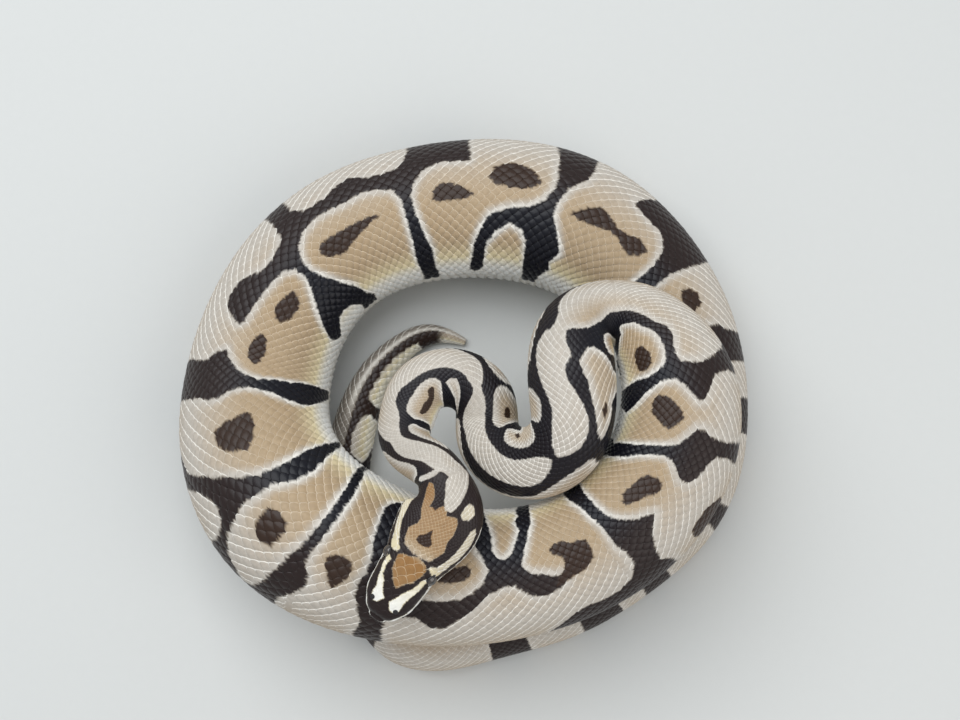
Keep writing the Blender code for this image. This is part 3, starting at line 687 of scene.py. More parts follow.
def head_marks(along, degrees, inside, marks):
    """The same with the head's stripes, golden crown, dark spots, pale lips and throat, and painted shade
    along the crease between the lips.
    """
    pale, edge, belly, warm = marks
    on_head = along < HEAD_LENGTH
    aside, mouth = np.abs(degrees), mouth_angle(along)
    stripes = eased(patch_distance(along, degrees, HEAD_PALE), -HEAD_FADE, HEAD_FADE)
    crown = eased(patch_distance(along, degrees, HEAD_GOLD), -HEAD_FADE, HEAD_FADE)
    spots = eased(patch_distance(along, degrees, HEAD_DARK), -HEAD_FADE, HEAD_FADE)
    lip_top = read_off(LIP_TOP, along)
    lip = eased(aside, lip_top, lip_top + LIP_FADE) * (along < LIP_END)
    jaw = eased(aside, mouth, mouth + JAW_FADE)
    throat = eased(aside, *THROAT_COMES)
    # Painted shade: a dark line along the crease between the lips, where the skin dips.
    to_lips = (aside - mouth) * np.radians(1) * np.interp(along, ALONG, HALF_WIDTH)
    painted_mouth_shade = np.exp(-(to_lips / MOUTH_SHADE_WIDTH) ** 2) * (along < MOUTH_END)
    light = np.maximum.reduce([stripes, crown, lip, jaw, throat]) * (1 - spots) * (1 - painted_mouth_shade)
    nape = eased(inside, -FADE, FADE)
    pale = np.where(on_head, np.maximum(light, nape), pale)
    gold = crown * (1 - nape) * read_off(GOLD_TONE, along)
    warm = np.where(on_head, gold + HEAD_NET_WARMTH * (1 - pale), warm)
    left_temple = np.where((degrees < 0) & (along > TEMPLE_START), LEFT_TEMPLE, 1.0)
    white = np.maximum.reduce([lip, jaw, throat, read_off(STRIPE_TONE, along) * left_temple * stripes])
    return pale, np.where(on_head, 0.0, edge), np.where(on_head, white * (1 - gold), belly), warm


def markings(along, share):
    """Four masks for places on the body: pale, edge of a patch, nearness of the belly, warmth."""
    along, share = np.asarray(along, float).ravel(), np.asarray(share, float).ravel()
    angle = np.degrees(angle_at(along, share))
    degrees = (angle + 180) % 360 - 180
    down = np.abs(angle - read_off(BACK_FACES, along))
    patches = NECK_PATCHES + COIL_PATCHES + TAIL_PATCHES + tuple(lower_band(*band) for band in LOWER_BANDS)
    inside = patch_distance(along, degrees, patches, run_off=True)
    marks = trunk_marks(along, degrees, down, inside)
    pale, edge, belly, warm = tail_marks(along, degrees, marks)
    under = eased(np.abs(share), *PLATES_FROM)
    marks = np.maximum(pale, under), edge, np.maximum(belly, under), warm
    if (along < HEAD_LENGTH).any():
        marks = head_marks(along, degrees, inside, marks)
    return np.stack(marks, axis=1)


# ---------------------------------------------------------------------------------------------
# Skin: one closed skin over head, neck, trunk and tail, under the scales.
# It shows between them as fine pale or dark lines, and dips at the mouth line and under the eyes.
# ---------------------------------------------------------------------------------------------
SKIN_STEP = 1.0         # between rings of points along the body, and closer on the head
HEAD_STEP = 0.4
SKIN_ROUND = 90
SKIN_RIM = 0.25         # how pale the skin between the scales is
SNOUT_BULGE = 1.5       # how far the snout's front rounds forward
SNOUT_TURNS = (25, 50, 72)
GROOVE_DEPTH = 0.55     # of the mouth, and half its width
GROOVE_WIDTH = 0.42
EYE_ALONG = 19.0
EYE_LOOKS = (0.90, 0.36, 0.24)     # sideways, up and forward
EYE_WELL = (2.0, 2.7)   # radius of the well's floor and of its brim
# Depth of the scales, along the body.
COAT_DEPTH = ((0, 0.2), (60, 0.2), (200, 0.28), (240, 0.42), (780, 0.42), (900, 0.25), (1000, 0.12))
# Black of the dark net down the flanks and on the neck: its own near-black, tinted blue as a painted sky
# reflection on the shaded flanks.
BLACK_WITH_PAINTED_SKY_BLUE = (0.006, 0.006, 0.010, 1.0)
BROWN_BLACK = (0.020, 0.012, 0.011, 1.0)
BROWN = (0.036, 0.019, 0.012, 1.0)
# Grey-beige of the pale patches where no tan has come in, on the back: partly their own tone, partly painted
# sky reflection.
PALE = (0.51, 0.46, 0.40, 1.0)
TAN = (0.41, 0.300, 0.185, 1.0)
GOLD_BROWN = (0.30, 0.150, 0.048, 1.0)
STRAW = (0.78, 0.67, 0.42, 1.0)
WHITE = (0.88, 0.87, 0.83, 1.0)
WARM_EDGE = (0.72, 0.59, 0.42, 1.0)
EDGE_PALE = (0.88, 0.84, 0.77, 1.0)


def colour_group():
    """Node group that turns a piece's masks into the python's colours; the blue of the blue-black and the
    grey of the grey-beige pale are partly painted sky reflection.
    """
    group = bpy.data.node_groups.new("python_colours", "ShaderNodeTree")
    for name in ("Pale", "Edge", "Belly", "Warm", "Rim"):
        group.interface.new_socket(name=name, in_out="INPUT", socket_type="NodeSocketFloat")
    group.interface.new_socket(name="Color", in_out="OUTPUT", socket_type="NodeSocketColor")
    nodes, links = group.nodes, group.links
    source = nodes.new("NodeGroupInput")
    result = nodes.new("NodeGroupOutput")
    place = nodes.new("ShaderNodeTexCoord")

    def noise(scale, detail):
        node = nodes.new("ShaderNodeTexNoise")
        node.inputs["Scale"].default_value = scale
        node.inputs["Detail"].default_value = detail
        links.new(place.outputs["Object"], node.inputs["Vector"])
        return node.outputs["Fac"]

    def ramp(factor, stops):
        node = nodes.new("ShaderNodeValToRGB")
        elements = node.color_ramp.elements
        while len(elements) < len(stops):
            elements.new(0.5)
        for element, (position, colour) in zip(elements, stops):
            element.position = position
            element.color = colour
        links.new(factor, node.inputs["Fac"])
        return node.outputs["Color"]

    def arithmetic(operation, first, second, third=None):
        node = nodes.new("ShaderNodeMath")
        node.operation = operation
        node.use_clamp = True
        for socket, value in zip(node.inputs, (first, second, third)):
            if value is None:
                continue
            if isinstance(value, float):
                socket.default_value = value
            else:
                links.new(value, socket)
        return node.outputs["Value"]

    def mixed(factor, first, second, blend="MIX"):
        node = nodes.new("ShaderNodeMix")
        node.data_type = "RGBA"
        node.blend_type = blend
        for socket, value in (("Factor", factor), ("A", first), ("B", second)):
            if isinstance(value, (float, tuple)):
                node.inputs[socket].default_value = value
            else:
                links.new(value, node.inputs[socket])
        return node.outputs["Result"]

    warmth = arithmetic("MULTIPLY_ADD", noise(55.0, 3.0), 0.20, -0.10)
    warmth = arithmetic("ADD", source.outputs["Warm"], warmth)
    pale = ramp(warmth, ((0.0, PALE), (0.5, TAN), (1.0, GOLD_BROWN)))
    under = ramp(source.outputs["Belly"], ((0.0, STRAW), (0.55, STRAW), (1.0, WHITE)))
    pale = mixed(arithmetic("MULTIPLY", source.outputs["Belly"], 1.6), pale, under)
    pale = mixed(arithmetic("MULTIPLY", source.outputs["Edge"], 0.80), pale, EDGE_PALE)
    rim_share = arithmetic("MULTIPLY_ADD", source.outputs["Warm"], -0.45, 0.95)
    rim_colour = ramp(source.outputs["Warm"], ((0.1, EDGE_PALE), (0.6, WARM_EDGE)))
    pale = mixed(arithmetic("MULTIPLY", source.outputs["Rim"], rim_share), pale, rim_colour)
    # Dark net: blue-black where its warmth is gone, the blue being painted sky reflection, to brown where it
    # is warm.
    dark = ramp(source.outputs["Warm"], ((0.0, BLACK_WITH_PAINTED_SKY_BLUE), (0.22, BROWN_BLACK), (0.5, BROWN)))
    colour = mixed(source.outputs["Pale"], dark, pale)
    grain = ramp(noise(700.0, 2.0), ((0.3, (0.86, 0.85, 0.84, 1.0)), (0.7, (1.0, 1.0, 1.0, 1.0))))
    colour = mixed(1.0, colour, grain, "MULTIPLY")
    links.new(colour, result.inputs["Color"])
    return group


python_colours = colour_group()


def scaly_finish(name, dull, gloss, grain_scale, grain_height):
    """Material that reads the masks carried by a piece; dark scales are glossier than pale ones."""
    material = bpy.data.materials.new(name)
    material.use_nodes = True
    nodes, links = material.node_tree.nodes, material.node_tree.links
    shader = nodes["Principled BSDF"]
    colours = nodes.new("ShaderNodeGroup")
    colours.node_tree = python_colours
    for mask in ("Pale", "Edge", "Belly", "Warm", "Rim"):
        reader = nodes.new("ShaderNodeAttribute")
        reader.attribute_name = mask.lower()
        links.new(reader.outputs["Fac"], colours.inputs[mask])
        if mask == "Pale":
            sheen = nodes.new("ShaderNodeMapRange")
            sheen.inputs["To Min"].default_value = gloss
            sheen.inputs["To Max"].default_value = dull
            links.new(reader.outputs["Fac"], sheen.inputs["Value"])
            links.new(sheen.outputs["Result"], shader.inputs["Roughness"])
    links.new(colours.outputs["Color"], shader.inputs["Base Color"])
    shader.inputs["Specular IOR Level"].default_value = 0.25
    place = nodes.new("ShaderNodeTexCoord")
    grain = nodes.new("ShaderNodeTexNoise")
    grain.inputs["Scale"].default_value = grain_scale
    bump = nodes.new("ShaderNodeBump")
    bump.inputs["Strength"].default_value = 0.35
    bump.inputs["Distance"].default_value = grain_height
    links.new(place.outputs["Object"], grain.inputs["Vector"])
    links.new(grain.outputs["Fac"], bump.inputs["Height"])
    links.new(bump.outputs["Normal"], shader.inputs["Normal"])
    return material


def carry_masks(mesh, masks, rim):
    """Stores the masks on a mesh's points."""
    for name, values in zip(("pale", "edge", "belly", "warm", "rim"), (*masks.T, rim)):
        layer = mesh.attributes.new(name, "FLOAT", "POINT")
        layer.data.foreach_set("value", np.ascontiguousarray(values, np.float32))


# From where on, how many scales go right round the body.
COLUMN_ZONES = (
    (0, 33), (150, 36), (230, 40), (790, 33), (880, 27), (924, 18), (940, 14), (956, 10), (978, 8),
)


def columns_at(along):
    """How many scales would go right round the body here."""
    starts, counts = np.array(COLUMN_ZONES).T
    return counts[np.searchsorted(starts, along, side="right") - 1]


def scale_width(along):
    """Width of a body scale, in millimetres."""
    return np.interp(along, ALONG, GIRTH) / columns_at(np.asarray(along, float))


def coat_depth(along):
    """How far the skin lies inside the body's outside, to leave room for the scales."""
    return read_off(COAT_DEPTH, along)


def skin_rows():
    """Distances along the body at which the skin's rings lie, closer on the head."""
    head = np.arange(0.0, HEAD_LENGTH, HEAD_STEP)
    return np.concatenate([head, np.arange(HEAD_LENGTH, BODY_LENGTH - 1.0, SKIN_STEP)])


def eye_frame(side):
    """Centre of an eye in metres, and its outward, forward and upward directions."""
    low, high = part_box("eye_right" if side > 0 else "eye_left")
    right, up = right_at(EYE_ALONG), up_at(EYE_ALONG)
    forward = -np.array([np.interp(EYE_ALONG, ALONG, TANGENT[:, i]) for i in range(3)])
    gaze = right * side * EYE_LOOKS[0] + up * EYE_LOOKS[1] + forward * EYE_LOOKS[2]
    gaze /= np.linalg.norm(gaze)
    ahead = forward - gaze * forward.dot(gaze)
    ahead /= np.linalg.norm(ahead)
    return np.array((low + high) / 2), gaze, ahead, np.cross(gaze, ahead)


def round_eye(points, side):
    """How far points lie from an eye's line of sight, and before its centre, in millimetres."""
    centre, gaze, ahead, over = eye_frame(side)
    offset = points - centre
    return np.hypot(offset @ ahead, offset @ over) / MM, offset @ gaze / MM


def build_skin(material):
    """Rings of points laid on the body and bridged, with its ends closed."""
    rows = skin_rows()
    shares = np.linspace(-0.5, 0.5, SKIN_ROUND, endpoint=False)
    along, share = (grid.ravel() for grid in np.meshgrid(rows, shares, indexing="ij"))
    angle = angle_at(along, share)
    degrees = np.abs((np.degrees(angle) + 180) % 360 - 180)
    from_lips = (degrees - mouth_angle(along)) * np.radians(1) * np.interp(along, ALONG, HALF_WIDTH)
    groove = GROOVE_DEPTH * np.exp(-(from_lips / GROOVE_WIDTH) ** 2) * (along < MOUTH_END)
    points = on_body(along, share, -coat_depth(along) - groove)
    for side in (-1, 1):
        aside, depth = round_eye(points, side)
        well = (depth > 0) * (1 - eased(aside, *EYE_WELL)) * np.maximum(depth - 0.4, 0.0)
        points -= eye_frame(side)[1] * (well * MM)[:, None]
    masks = markings(along, share)
    ring = np.arange(SKIN_ROUND)
    first = np.arange(len(rows) - 1)[:, None] * SKIN_ROUND
    after = (ring + 1) % SKIN_ROUND
    second = first + SKIN_ROUND
    faces = np.stack([first + ring, second + ring, second + after, first + after], axis=-1)
    shape = bmesh.new()
    verts = [shape.verts.new(point) for point in points]
    for corners in faces.reshape(-1, 4):
        shape.faces.new([verts[corner] for corner in corners])
    tip = shape.faces.new(verts[-SKIN_ROUND:])
    forward = Vector(-TANGENT[0])
    middle = Vector(points[:SKIN_ROUND].mean(axis=0))
    rim = verts[:SKIN_ROUND]
    for turn in np.radians(SNOUT_TURNS):
        push = forward * math.sin(turn) * SNOUT_BULGE * MM
        smaller = []
        for vert in verts[:SKIN_ROUND]:
            smaller.append(shape.verts.new(middle + (vert.co - middle) * math.cos(turn) + push))
        for i in ring:
            shape.faces.new((rim[i], rim[after[i]], smaller[after[i]], smaller[i]))
        rim = smaller
    nose = shape.faces.new(rim)
    bmesh.ops.recalc_face_normals(shape, faces=shape.faces)
    bmesh.ops.poke(shape, faces=[nose, tip])
    front = np.tile(masks[:SKIN_ROUND], (len(SNOUT_TURNS), 1))
    masks = np.concatenate([masks, front, masks[:1], masks[-1:]])
    skin = linked("skin", shape, material)
    carry_masks(skin.data, masks, np.full(len(masks), SKIN_RIM))
    return skin


skin = build_skin(scaly_finish("skin_finish", 0.6, 0.45, 1500.0, 0.0001))
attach(skin, "root")
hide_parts(*[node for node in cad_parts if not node.startswith("eye")])

# ---------------------------------------------------------------------------------------------
# Body scales: smooth, overlapping lozenges in slanting rows, small on the neck and tail.
# One scale is shaped, then laid over the skin in staggered rings, its tip towards the tail.
# ---------------------------------------------------------------------------------------------
SCALE_LENGTH = 1.04     # against its width
LENGTH_OVERLAP = 1.14
WIDTH_OVERLAP = 1.04
SCALE_REACH = 0.388     # share of the way round from the back's middle to the belly plates
TAIL_START = 924.0
PATCH = 0.0015          # half the size of a scale's place on the unwrap
TAIL_RIM = 0.4          # how much paler the rims of the tail's scales are
PLACE_JITTER = 0.03
SIZE_JITTER = 0.025
BACK_SHIFT = 2.4        # the underside of a scale lies beside its top there, this many PATCH away
# A scale against its half width: how high it sits, how far its middle bulges, how far its tip
# stands up, and how far its border is turned down.
SEAT, BULGE, TIP_RISE, TURN_DOWN = 0.10, 0.18, 0.15, 0.15
INNER_SPAN = 0.84       # share of a scale's radius over which the rings inside its rim are spread


def scale_shape(sides, squareness, rim, rings):
    """One domed scale on a unit circle, x towards its tip: points, triangles, rim mask, underside."""
    shape = bmesh.new()
    bmesh.ops.create_circle(shape, cap_ends=True, segments=sides, radius=1.0)
    top = shape.faces[:]
    for step in (rim * 0.45, rim * 0.55, *[INNER_SPAN / (rings + 1)] * rings):
        bmesh.ops.inset_region(shape, faces=top, thickness=step, use_even_offset=False, use_boundary=True)
    bmesh.ops.poke(shape, faces=top)
    border = [edge for edge in shape.edges if edge.is_boundary]
    base = bmesh.ops.duplicate(shape, geom=border)
    base_edges = [item for item in base["geom"] if isinstance(item, bmesh.types.BMEdge)]
    base_verts = [item for item in base["geom"] if isinstance(item, bmesh.types.BMVert)]
    bmesh.ops.holes_fill(shape, edges=base_edges, sides=sides)
    for vert in base_verts:
        vert.co.z = -1.0
    bmesh.ops.triangulate(shape, faces=shape.faces)
    shape.verts.ensure_lookup_table()
    corners = np.array([vert.co for vert in shape.verts])
    underside = corners[:, 2] < -0.5
    radius = np.hypot(corners[:, 0], corners[:, 1])
    turn = np.arctan2(corners[:, 1], corners[:, 0])
    power = 2.0 / squareness
    x = radius * np.sign(np.cos(turn)) * np.abs(np.cos(turn)) ** power
    y = radius * np.sign(np.sin(turn)) * np.abs(np.sin(turn)) ** power
    z = SEAT + BULGE * (1 - radius ** 2) + TIP_RISE * x
    z = np.where(radius > 0.97, z - TURN_DOWN, z)
    points = np.stack([x, y, z], axis=1)
    triangles = []
    for face in shape.faces:
        order = [vert.index for vert in face.verts]
        below = all(underside[index] for index in order)
        a, b, c = corners[order][:, :2]
        turned = (b[0] - a[0]) * (c[1] - a[1]) - (b[1] - a[1]) * (c[0] - a[0])
        if (turned < 0) != below:
            order.reverse()
        triangles.append(order)
    shape.free()
    return points, np.array(triangles), eased(radius, 1 - rim, 1 - rim * 0.5), underside


def spread(template, along, share, lengths, widths):
    """Distance along the body and share of the way round of every point of many scales."""
    points = template[0]
    place_along = along[:, None] + points[:, 0] * lengths[:, None]
    place_share = share[:, None] + points[:, 1] * (widths / np.interp(along, ALONG, GIRTH))[:, None]
    return np.clip(place_along, 0.0, BODY_LENGTH - 0.5), place_share


def joined_scales(name, template, places, height, masks, roots, material):
    """One piece of many like scales; roots are the middles of their places on the unwrap."""
    points, triangles, rim, underside = template
    count, corners = height.shape
    mesh = bpy.data.meshes.new(name)
    faces = (triangles[None] + (np.arange(count) * corners)[:, None, None]).reshape(-1, 3)
    mesh.from_pydata(on_body(places[0].ravel(), places[1].ravel(), height.ravel()), [], faces)
    mesh.materials.append(material)
    mesh.shade_smooth()
    carry_masks(mesh, masks, np.tile(rim, count))
    unwrap = mesh.uv_layers.new(name="OFBake")
    u = roots[0][:, None] + points[:, 0] * PATCH
    v = roots[1][:, None] + points[:, 1] * PATCH + np.where(underside, BACK_SHIFT * PATCH, 0.0)
    on_unwrap = np.stack([u.ravel(), v.ravel()], axis=1)[faces.ravel()]
    unwrap.data.foreach_set("uv", on_unwrap.astype(np.float32).ravel())
    piece = bpy.data.objects.new(name, mesh)
    bpy.context.scene.collection.objects.link(piece)
    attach(piece, "root")


def lay_scales(name, template, rows, span, material, crossed=0.85, relief=1.0):
    """Scales on back and flanks; crossed is how far the markings cut across a scale, 0 to 1."""
    along, share, _, widths = rows
    points, _, rim, _ = template
    place_along, place_share = spread(template, *rows)
    height = points[:, 2] * widths[:, None] * relief - coat_depth(along)[:, None]
    masks = markings(along[:, None] + crossed * (place_along - along[:, None]),
                     share[:, None] + crossed * (place_share - share[:, None]))
    if along[0] > TAIL_START - 10:
        rims = TAIL_RIM * np.tile(rim, len(along))
        masks[:, 0] = np.minimum(masks[:, 0] + rims * (masks[:, 0] > 0.3), 1.0)
    else:
        masks[:, 0] = eased(masks[:, 0], 0.3, 0.7)
    roots = 0.01 + 0.97 * (along - span[0]) / (span[1] - span[0]), 0.02 + 0.95 * (share + 0.5)
    joined_scales(name, template, (place_along, place_share), height, masks, roots, material)


def ring_places(start, stop, draws):
    """Root places and half sizes of the scales between two distances from the snout."""
    rows = []
    at, odd = start, 0
    while at < stop:
        columns = int(columns_at(at))
        width = float(scale_width(at))
        most = int(SCALE_REACH * columns)
        steps = np.arange(-most, most + 1) + 0.5 * odd
        steps = steps[np.abs(steps) <= SCALE_REACH * columns]
        row = np.full(len(steps), at), steps / columns, np.full(len(steps), width / 2)
        rows.append(np.stack(row, axis=1))
        at += width * SCALE_LENGTH / 2
        odd = 1 - odd
    along, share, half = np.concatenate(rows).T
    along = along + draws.normal(0, PLACE_JITTER, len(along)) * half
    size = 1 + draws.normal(0, SIZE_JITTER, len(along))
    return along, share, half * SCALE_LENGTH * LENGTH_OVERLAP * size, half * WIDTH_OVERLAP * size


draws = np.random.default_rng(7)
scale_finish = scaly_finish("scale_finish", 0.46, 0.34, 2600.0, 0.00006)
broad_scale = scale_shape(10, 1.5, 0.20, 1)
small_scale = scale_shape(8, 1.5, 0.24, 1)
for name, start, stop, template in (
    ("neck_1", 47.5, 100, small_scale), ("neck_2", 100, 160, small_scale), ("neck_3", 160, 222, small_scale),
    ("trunk_1", 222, 316, broad_scale), ("trunk_2", 316, 412, broad_scale),
    ("trunk_3", 412, 512, broad_scale), ("trunk_4", 512, 608, broad_scale),
    ("trunk_5", 608, 700, broad_scale), ("trunk_6", 700, 790, broad_scale),
    ("trunk_7", 790, TAIL_START, small_scale), ("tail", TAIL_START, BODY_LENGTH - 2.5, small_scale),
):
    rows = ring_places(start, stop, draws)
    lay_scales("scales_" + name, template, rows, (start, stop), scale_finish)

# ---------------------------------------------------------------------------------------------
# Belly plates: one row of broad smooth plates under neck and trunk, in pairs under the tail.
# Each is the same kind of shield as a scale, drawn out round the belly, its edge towards the tail.
# ---------------------------------------------------------------------------------------------
VENT = 926.0
PLATE_PITCH = 4.3
PLATE_SPAN = 0.118      # half the width of a plate, as a share of the girth
PAIR_PITCH = 2.4
PAIR_SPAN = 0.06
PAIR_SHIFT = 0.058      # how far each plate of a pair lies from the middle of the belly
PLATE_OVERLAP = 0.56    # half the length of a plate, against the pitch
PLATE_RELIEF = 0.9
plate_shape = scale_shape(28, 5.0, 0.06, 1)
plate_finish = scaly_finish("plate_finish", 0.38, 0.34, 900.0, 0.00005)


def belly_places():
    """Middles of the plates and their half sizes along and across."""
    single = np.arange(HEAD_LENGTH - 1.0, VENT, PLATE_PITCH)
    paired = np.arange(VENT, BODY_LENGTH - 4.0, PAIR_PITCH)
    in_pairs = np.repeat((0, 1), (len(single), 2 * len(paired)))
    along = np.concatenate([single, paired, paired])
    share = 0.5 + np.repeat((0.0, -PAIR_SHIFT, PAIR_SHIFT), (len(single), len(paired), len(paired)))
    lengths = np.array((PLATE_PITCH, PAIR_PITCH))[in_pairs] * PLATE_OVERLAP
    spans = np.array((PLATE_SPAN, PAIR_SPAN))[in_pairs]
    return along, share, lengths, spans * np.interp(along, ALONG, GIRTH)


def wrapped(share):
    """Share of the way round brought back between -0.5 and 0.5."""
    return (share + 0.5) % 1.0 - 0.5


def lay_plates():
    """Plates cross the middle of the belly, so their points are wrapped round it one by one."""
    along, share, lengths, widths = belly_places()
    points = plate_shape[0]
    place_along, place_share = spread(plate_shape, along, share, lengths, widths)
    height = points[:, 2] * lengths[:, None] * PLATE_RELIEF - coat_depth(along)[:, None]
    masks = np.repeat(markings(along, np.full(len(along), 0.5)), len(points), axis=0)
    roots = 0.01 + 0.97 * along / BODY_LENGTH, 0.1 + 0.8 * share
    joined_scales("belly_plates", plate_shape, (place_along, wrapped(place_share)), height,
                  masks, roots, plate_finish)


lay_plates()

# ---------------------------------------------------------------------------------------------
# Head scales: larger flat shields on the snout, fine pebbly scales over the crown and cheeks,
# and a row of squarish lip shields above and below the mouth line.
# ---------------------------------------------------------------------------------------------
SHIELDS_END = 22.0      # large shields in front of this, fine scales behind
# Width of a scale on top of the head, by its distance from the snout.
CROWN_WIDTH = ((0, 2.3), (6, 3.2), (14, 4.0), (21, 3.6), (25, 1.5), (32, 1.3), (49, 1.4))
CROWN_REACH = 0.42      # share of the way round that they cover on each side
CROWN_START = 0.6
ROW_STEP = 0.53         # from one row to the next, against the width
CROWN_JITTER = 0.05
CROWN_OVERLAP = (1.10, 1.06)
EYE_CLEAR = 3.0
LIP_WIDTH = 2.1
LIP_ROW = 36.5          # length of the row of lip shields
LIP_ASIDE = 1.12        # from the mouth line to the middle of a shield


def share_at(along, degrees):
    """Share of the way round at this angle from the top."""
    row = np.clip(np.round(along).astype(int), 0, len(ALONG) - 1)
    wanted = np.linspace(-0.5, 0.5, STEPS_ROUND + 1)
    return np.array([np.interp(math.radians(d), ANGLE_TABLE[i], wanted) for i, d in zip(row, degrees)])


def near_eye(along, share):
    """Whether places on the head lie over an eye or its ring."""
    points = on_body(along, share, np.zeros(len(along)))
    found = np.zeros(len(along), bool)
    for side in (-1, 1):
        aside, depth = round_eye(points, side)
        found |= (aside < EYE_CLEAR) & (depth > 0)
    return found


def crown_places(draws):
    """Middles and half sizes of the head's scales from snout to nape, kept off the lips and the eyes."""
    rows = []
    at, odd = CROWN_START, 0
    while at < HEAD_LENGTH:
        width = float(read_off(CROWN_WIDTH, at))
        girth = float(np.interp(at, ALONG, GIRTH))
        most = int(CROWN_REACH * girth / width)
        steps = (np.arange(-most, most + 1) + 0.5 * odd) * width / girth
        rows.append(np.stack([np.full(len(steps), at), steps, np.full(len(steps), width / 2)], axis=1))
        at += width * ROW_STEP
        odd = 1 - odd
    along, share, half = np.concatenate(rows).T
    degrees = np.abs(np.degrees(angle_at(along, share)))
    radius = np.interp(along, ALONG, HALF_WIDTH)
    to_lips = np.abs(mouth_angle(along) - degrees) * np.radians(1) * radius
    keep = ~((to_lips < LIP_WIDTH) & (along < MOUTH_LINE[-1][0])) & ~near_eye(along, share)
    along, share, half = along[keep], share[keep], half[keep]
    along = along + draws.normal(0, 0.06, len(along)) * half
    share = share + draws.normal(0, CROWN_JITTER, len(along)) * half / np.interp(along, ALONG, GIRTH)
    size = 1 + draws.normal(0, CROWN_JITTER, len(along))
    return along, share, half * CROWN_OVERLAP[0] * size, half * CROWN_OVERLAP[1] * size


crown = crown_places(draws)
for name, kept, shape, relief in (
    ("scales_snout", crown[0] < SHIELDS_END, scale_shape(20, 1.6, 0.12, 3), 0.4),
    ("scales_head", crown[0] >= SHIELDS_END, scale_shape(10, 1.45, 0.22, 1), 0.9),
):
    rows = [values[kept] for values in crown]
    lay_scales(name, shape, rows, (0.0, HEAD_LENGTH), scale_finish, 1.0, relief)

lip_shape = scale_shape(16, 4.0, 0.10, 2)
for label, below, count in (("upper", -1.0, 11), ("lower", 1.0, 13)):
    pitch = LIP_ROW / count
    along = np.tile(0.6 + pitch * (np.arange(count) + 0.5), 2)
    degrees = mouth_angle(along) + below * np.degrees(LIP_ASIDE / np.interp(along, ALONG, HALF_WIDTH))
    share = share_at(along, degrees * np.repeat((-1.0, 1.0), count))
    rows = along, share, np.full(2 * count, pitch / 2), np.full(2 * count, 1.0)
    lay_scales("lip_" + label, lip_shape, rows, (0.0, HEAD_LENGTH), scale_finish, 1.0, 0.5)

# ---------------------------------------------------------------------------------------------
# Nostrils and heat pits: small flat dark balls of painted shade set into the snout and above the mouth line.
# Each nostril has a raised rim round it. All are set on the head by distance and angle.
# ---------------------------------------------------------------------------------------------
NOSTRIL_ALONG = 4.6
NOSTRIL_ASIDE = 31.0    # degrees from the top
NOSTRIL_RADIUS = 0.62 * MM
NOSTRIL_RIM = 0.20 * MM
NOSTRIL_DISH = 0.6 * MM
PITS_ALONG = (4.2, 7.4, 10.8, 14.2)
PIT_ABOVE = 13.0        # degrees from the mouth line
PIT_RADIUS = 0.42 * MM
DISH_FLATNESS = 0.35
BEAD_SWELL = 0.28


def head_spot(along, degrees, height):
    """A place on the head's outside, and the direction straight out of it."""
    along = np.array([along])
    share = share_at(along, np.array([degrees]))
    return on_body(along, share, np.array([height]))[0], outward(along, angle_at(along, share))[0]


def facing(centre, way):
    """Matrix that sets a shape made round the origin at this centre, with its +Z this way."""
    return Matrix.Translation(centre) @ Vector(way).to_track_quat("Z", "Y").to_matrix().to_4x4()


def ring_bead(name, centre, way, radius, thickness, beads, material):
    """Small closed ring of flesh round an opening, beaded if it is a ring of scales."""
    shape = bmesh.new()
    bmesh.ops.create_circle(shape, cap_ends=False, segments=12, radius=thickness)
    bmesh.ops.rotate(shape, verts=shape.verts, cent=(0, 0, 0), matrix=Matrix.Rotation(math.pi / 2, 3, "X"))
    bmesh.ops.translate(shape, verts=shape.verts, vec=(radius, 0, 0))
    bmesh.ops.spin(shape, geom=shape.verts[:] + shape.edges[:], angle=2 * math.pi, steps=72, use_merge=True,
                   axis=(0, 0, 1), cent=(0, 0, 0))
    for vert in shape.verts:
        turn = math.atan2(vert.co.y, vert.co.x)
        swell = 1 + (BEAD_SWELL * abs(math.cos(beads * turn / 2)) - BEAD_SWELL / 2 if beads else 0.0)
        middle = Vector((math.cos(turn), math.sin(turn), 0)) * radius
        vert.co = middle + (vert.co - middle) * swell
    bmesh.ops.transform(shape, matrix=facing(centre, way), verts=shape.verts)
    bmesh.ops.recalc_face_normals(shape, faces=shape.faces)
    ring = linked(name, shape, material)
    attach(ring, "root")


def pit_floor(name, centre, way, radius, material):
    """Flattened dark ball, painted shade that shows as the floor of a nostril or a heat pit."""
    shape = bmesh.new()
    bmesh.ops.create_uvsphere(shape, u_segments=16, v_segments=8, radius=radius)
    bmesh.ops.scale(shape, verts=shape.verts, vec=(1, 1, DISH_FLATNESS))
    bmesh.ops.transform(shape, matrix=facing(centre, way), verts=shape.verts)
    dish = linked(name, shape, material)
    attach(dish, "root")


ring_dark = plain_finish("dark_ring", (0.014, 0.011, 0.012), 0.42)
# Painted shade: the dark inside of the nostrils and heat pits.
painted_pit_shade = plain_finish("painted_pit_shade", (0.012, 0.01, 0.01), 0.55)
for label, side in (("left", -1.0), ("right", 1.0)):
    centre, way = head_spot(NOSTRIL_ALONG, NOSTRIL_ASIDE * side, -0.05)
    ring_bead("nostril_rim_" + label, centre, way, NOSTRIL_RADIUS, NOSTRIL_RIM, 0, ring_dark)
    pit_floor("nostril_" + label, centre + way * 0.06 * MM, way, NOSTRIL_DISH, painted_pit_shade)
    for number, pit_along in enumerate(PITS_ALONG):
        centre, way = head_spot(pit_along, (mouth_angle(pit_along) - PIT_ABOVE) * side, 0.12)
        pit_floor(f"heat_pit_{label}_{number + 1}", centre, way, PIT_RADIUS, painted_pit_shade)

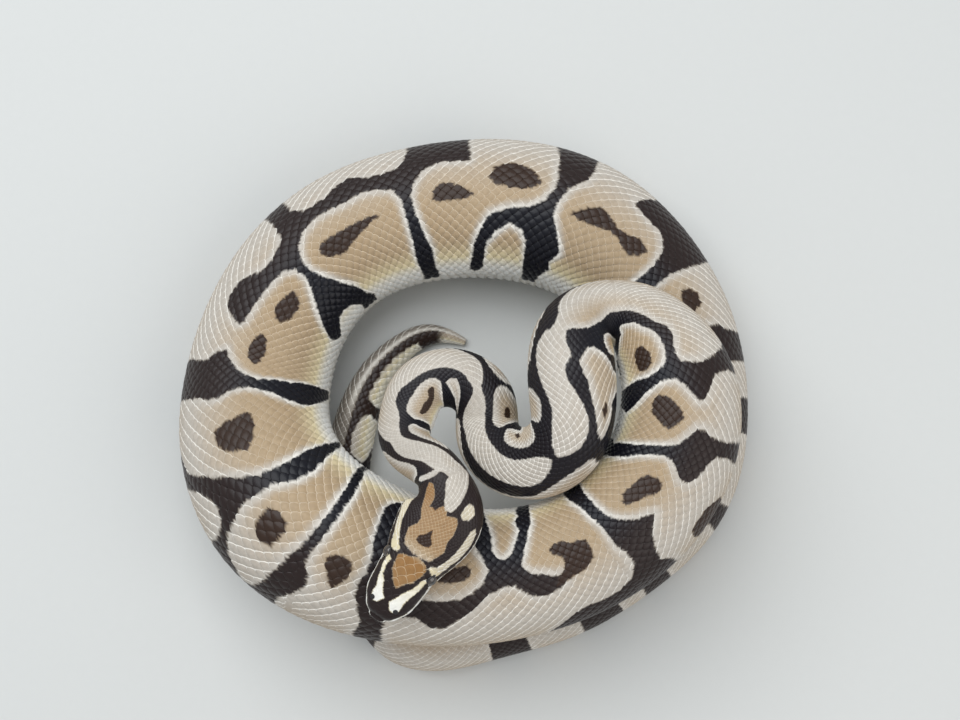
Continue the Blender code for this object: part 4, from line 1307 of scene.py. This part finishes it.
# ---------------------------------------------------------------------------------------------
# Eyes: dark brown iris with an upright slit pupil under a clear, glossy spectacle.
# Each ball sits in its well in the skin, inside a ring of small scales.
# ---------------------------------------------------------------------------------------------
EYE_RADIUS = 2.5 * MM
SLIT_HALF_SIZE = (0.17, 0.62)       # ahead and upwards, against the eye's radius
SLIT_FADE = (0.9, 1.1 / 1.2)
RING_THICKNESS = 0.34 * MM
RING_BEADS = 15
RING_OUT = 1.15 * MM    # from the eye's centre towards where it looks


def eye_finish():
    """Iris and slit pupil read from the ball's own attributes, under a clear coat."""
    material = bpy.data.materials.new("eye_finish")
    material.use_nodes = True
    nodes, links = material.node_tree.nodes, material.node_tree.links
    shader = nodes["Principled BSDF"]
    slit = nodes.new("ShaderNodeAttribute")
    slit.attribute_name = "slit"
    height = nodes.new("ShaderNodeAttribute")
    height.attribute_name = "height"
    iris = nodes.new("ShaderNodeValToRGB")
    iris.color_ramp.elements[0].color = (0.012, 0.008, 0.006, 1.0)
    iris.color_ramp.elements[1].color = (0.055, 0.040, 0.030, 1.0)
    iris.color_ramp.elements[0].position = 0.35
    pupil = nodes.new("ShaderNodeValToRGB")
    for element, position in zip(pupil.color_ramp.elements, SLIT_FADE):
        element.position = position
    both = nodes.new("ShaderNodeMix")
    both.data_type = "RGBA"
    both.inputs["A"].default_value = (0.002, 0.002, 0.002, 1.0)
    links.new(height.outputs["Fac"], iris.inputs["Fac"])
    links.new(slit.outputs["Fac"], pupil.inputs["Fac"])
    links.new(pupil.outputs["Color"], both.inputs["Factor"])
    links.new(iris.outputs["Color"], both.inputs["B"])
    links.new(both.outputs["Result"], shader.inputs["Base Color"])
    shader.inputs["Roughness"].default_value = 0.12
    shader.inputs["Coat Weight"].default_value = 1.0
    shader.inputs["Coat Roughness"].default_value = 0.03
    return material


eye_glaze = eye_finish()
for label, side in (("left", -1.0), ("right", 1.0)):
    centre, gaze, ahead, over = eye_frame(side)
    over = over * np.sign(over[2])
    shape = bmesh.new()
    bmesh.ops.create_uvsphere(shape, u_segments=48, v_segments=24, radius=EYE_RADIUS)
    bmesh.ops.translate(shape, verts=shape.verts, vec=centre)
    eye = linked("eyeball_" + label, shape, eye_glaze)
    offset = (np.array([vert.co for vert in eye.data.vertices]) - centre) / EYE_RADIUS
    front = offset @ gaze > 0
    slit_size = np.hypot(offset @ ahead / SLIT_HALF_SIZE[0], offset @ over / SLIT_HALF_SIZE[1])
    slit_values = np.where(front, np.clip(slit_size, 0, 1.2), 1.2)
    for attribute, values in (("slit", slit_values), ("height", np.clip(offset @ over * 0.5 + 0.5, 0, 1))):
        layer = eye.data.attributes.new(attribute, "FLOAT", "POINT")
        layer.data.foreach_set("value", values.astype(np.float32))
    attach(eye, "root")
    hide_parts("eye_" + label)
    ring_bead("eye_ring_" + label, centre + gaze * RING_OUT, gaze, EYE_RADIUS, RING_THICKNESS,
              RING_BEADS, ring_dark)
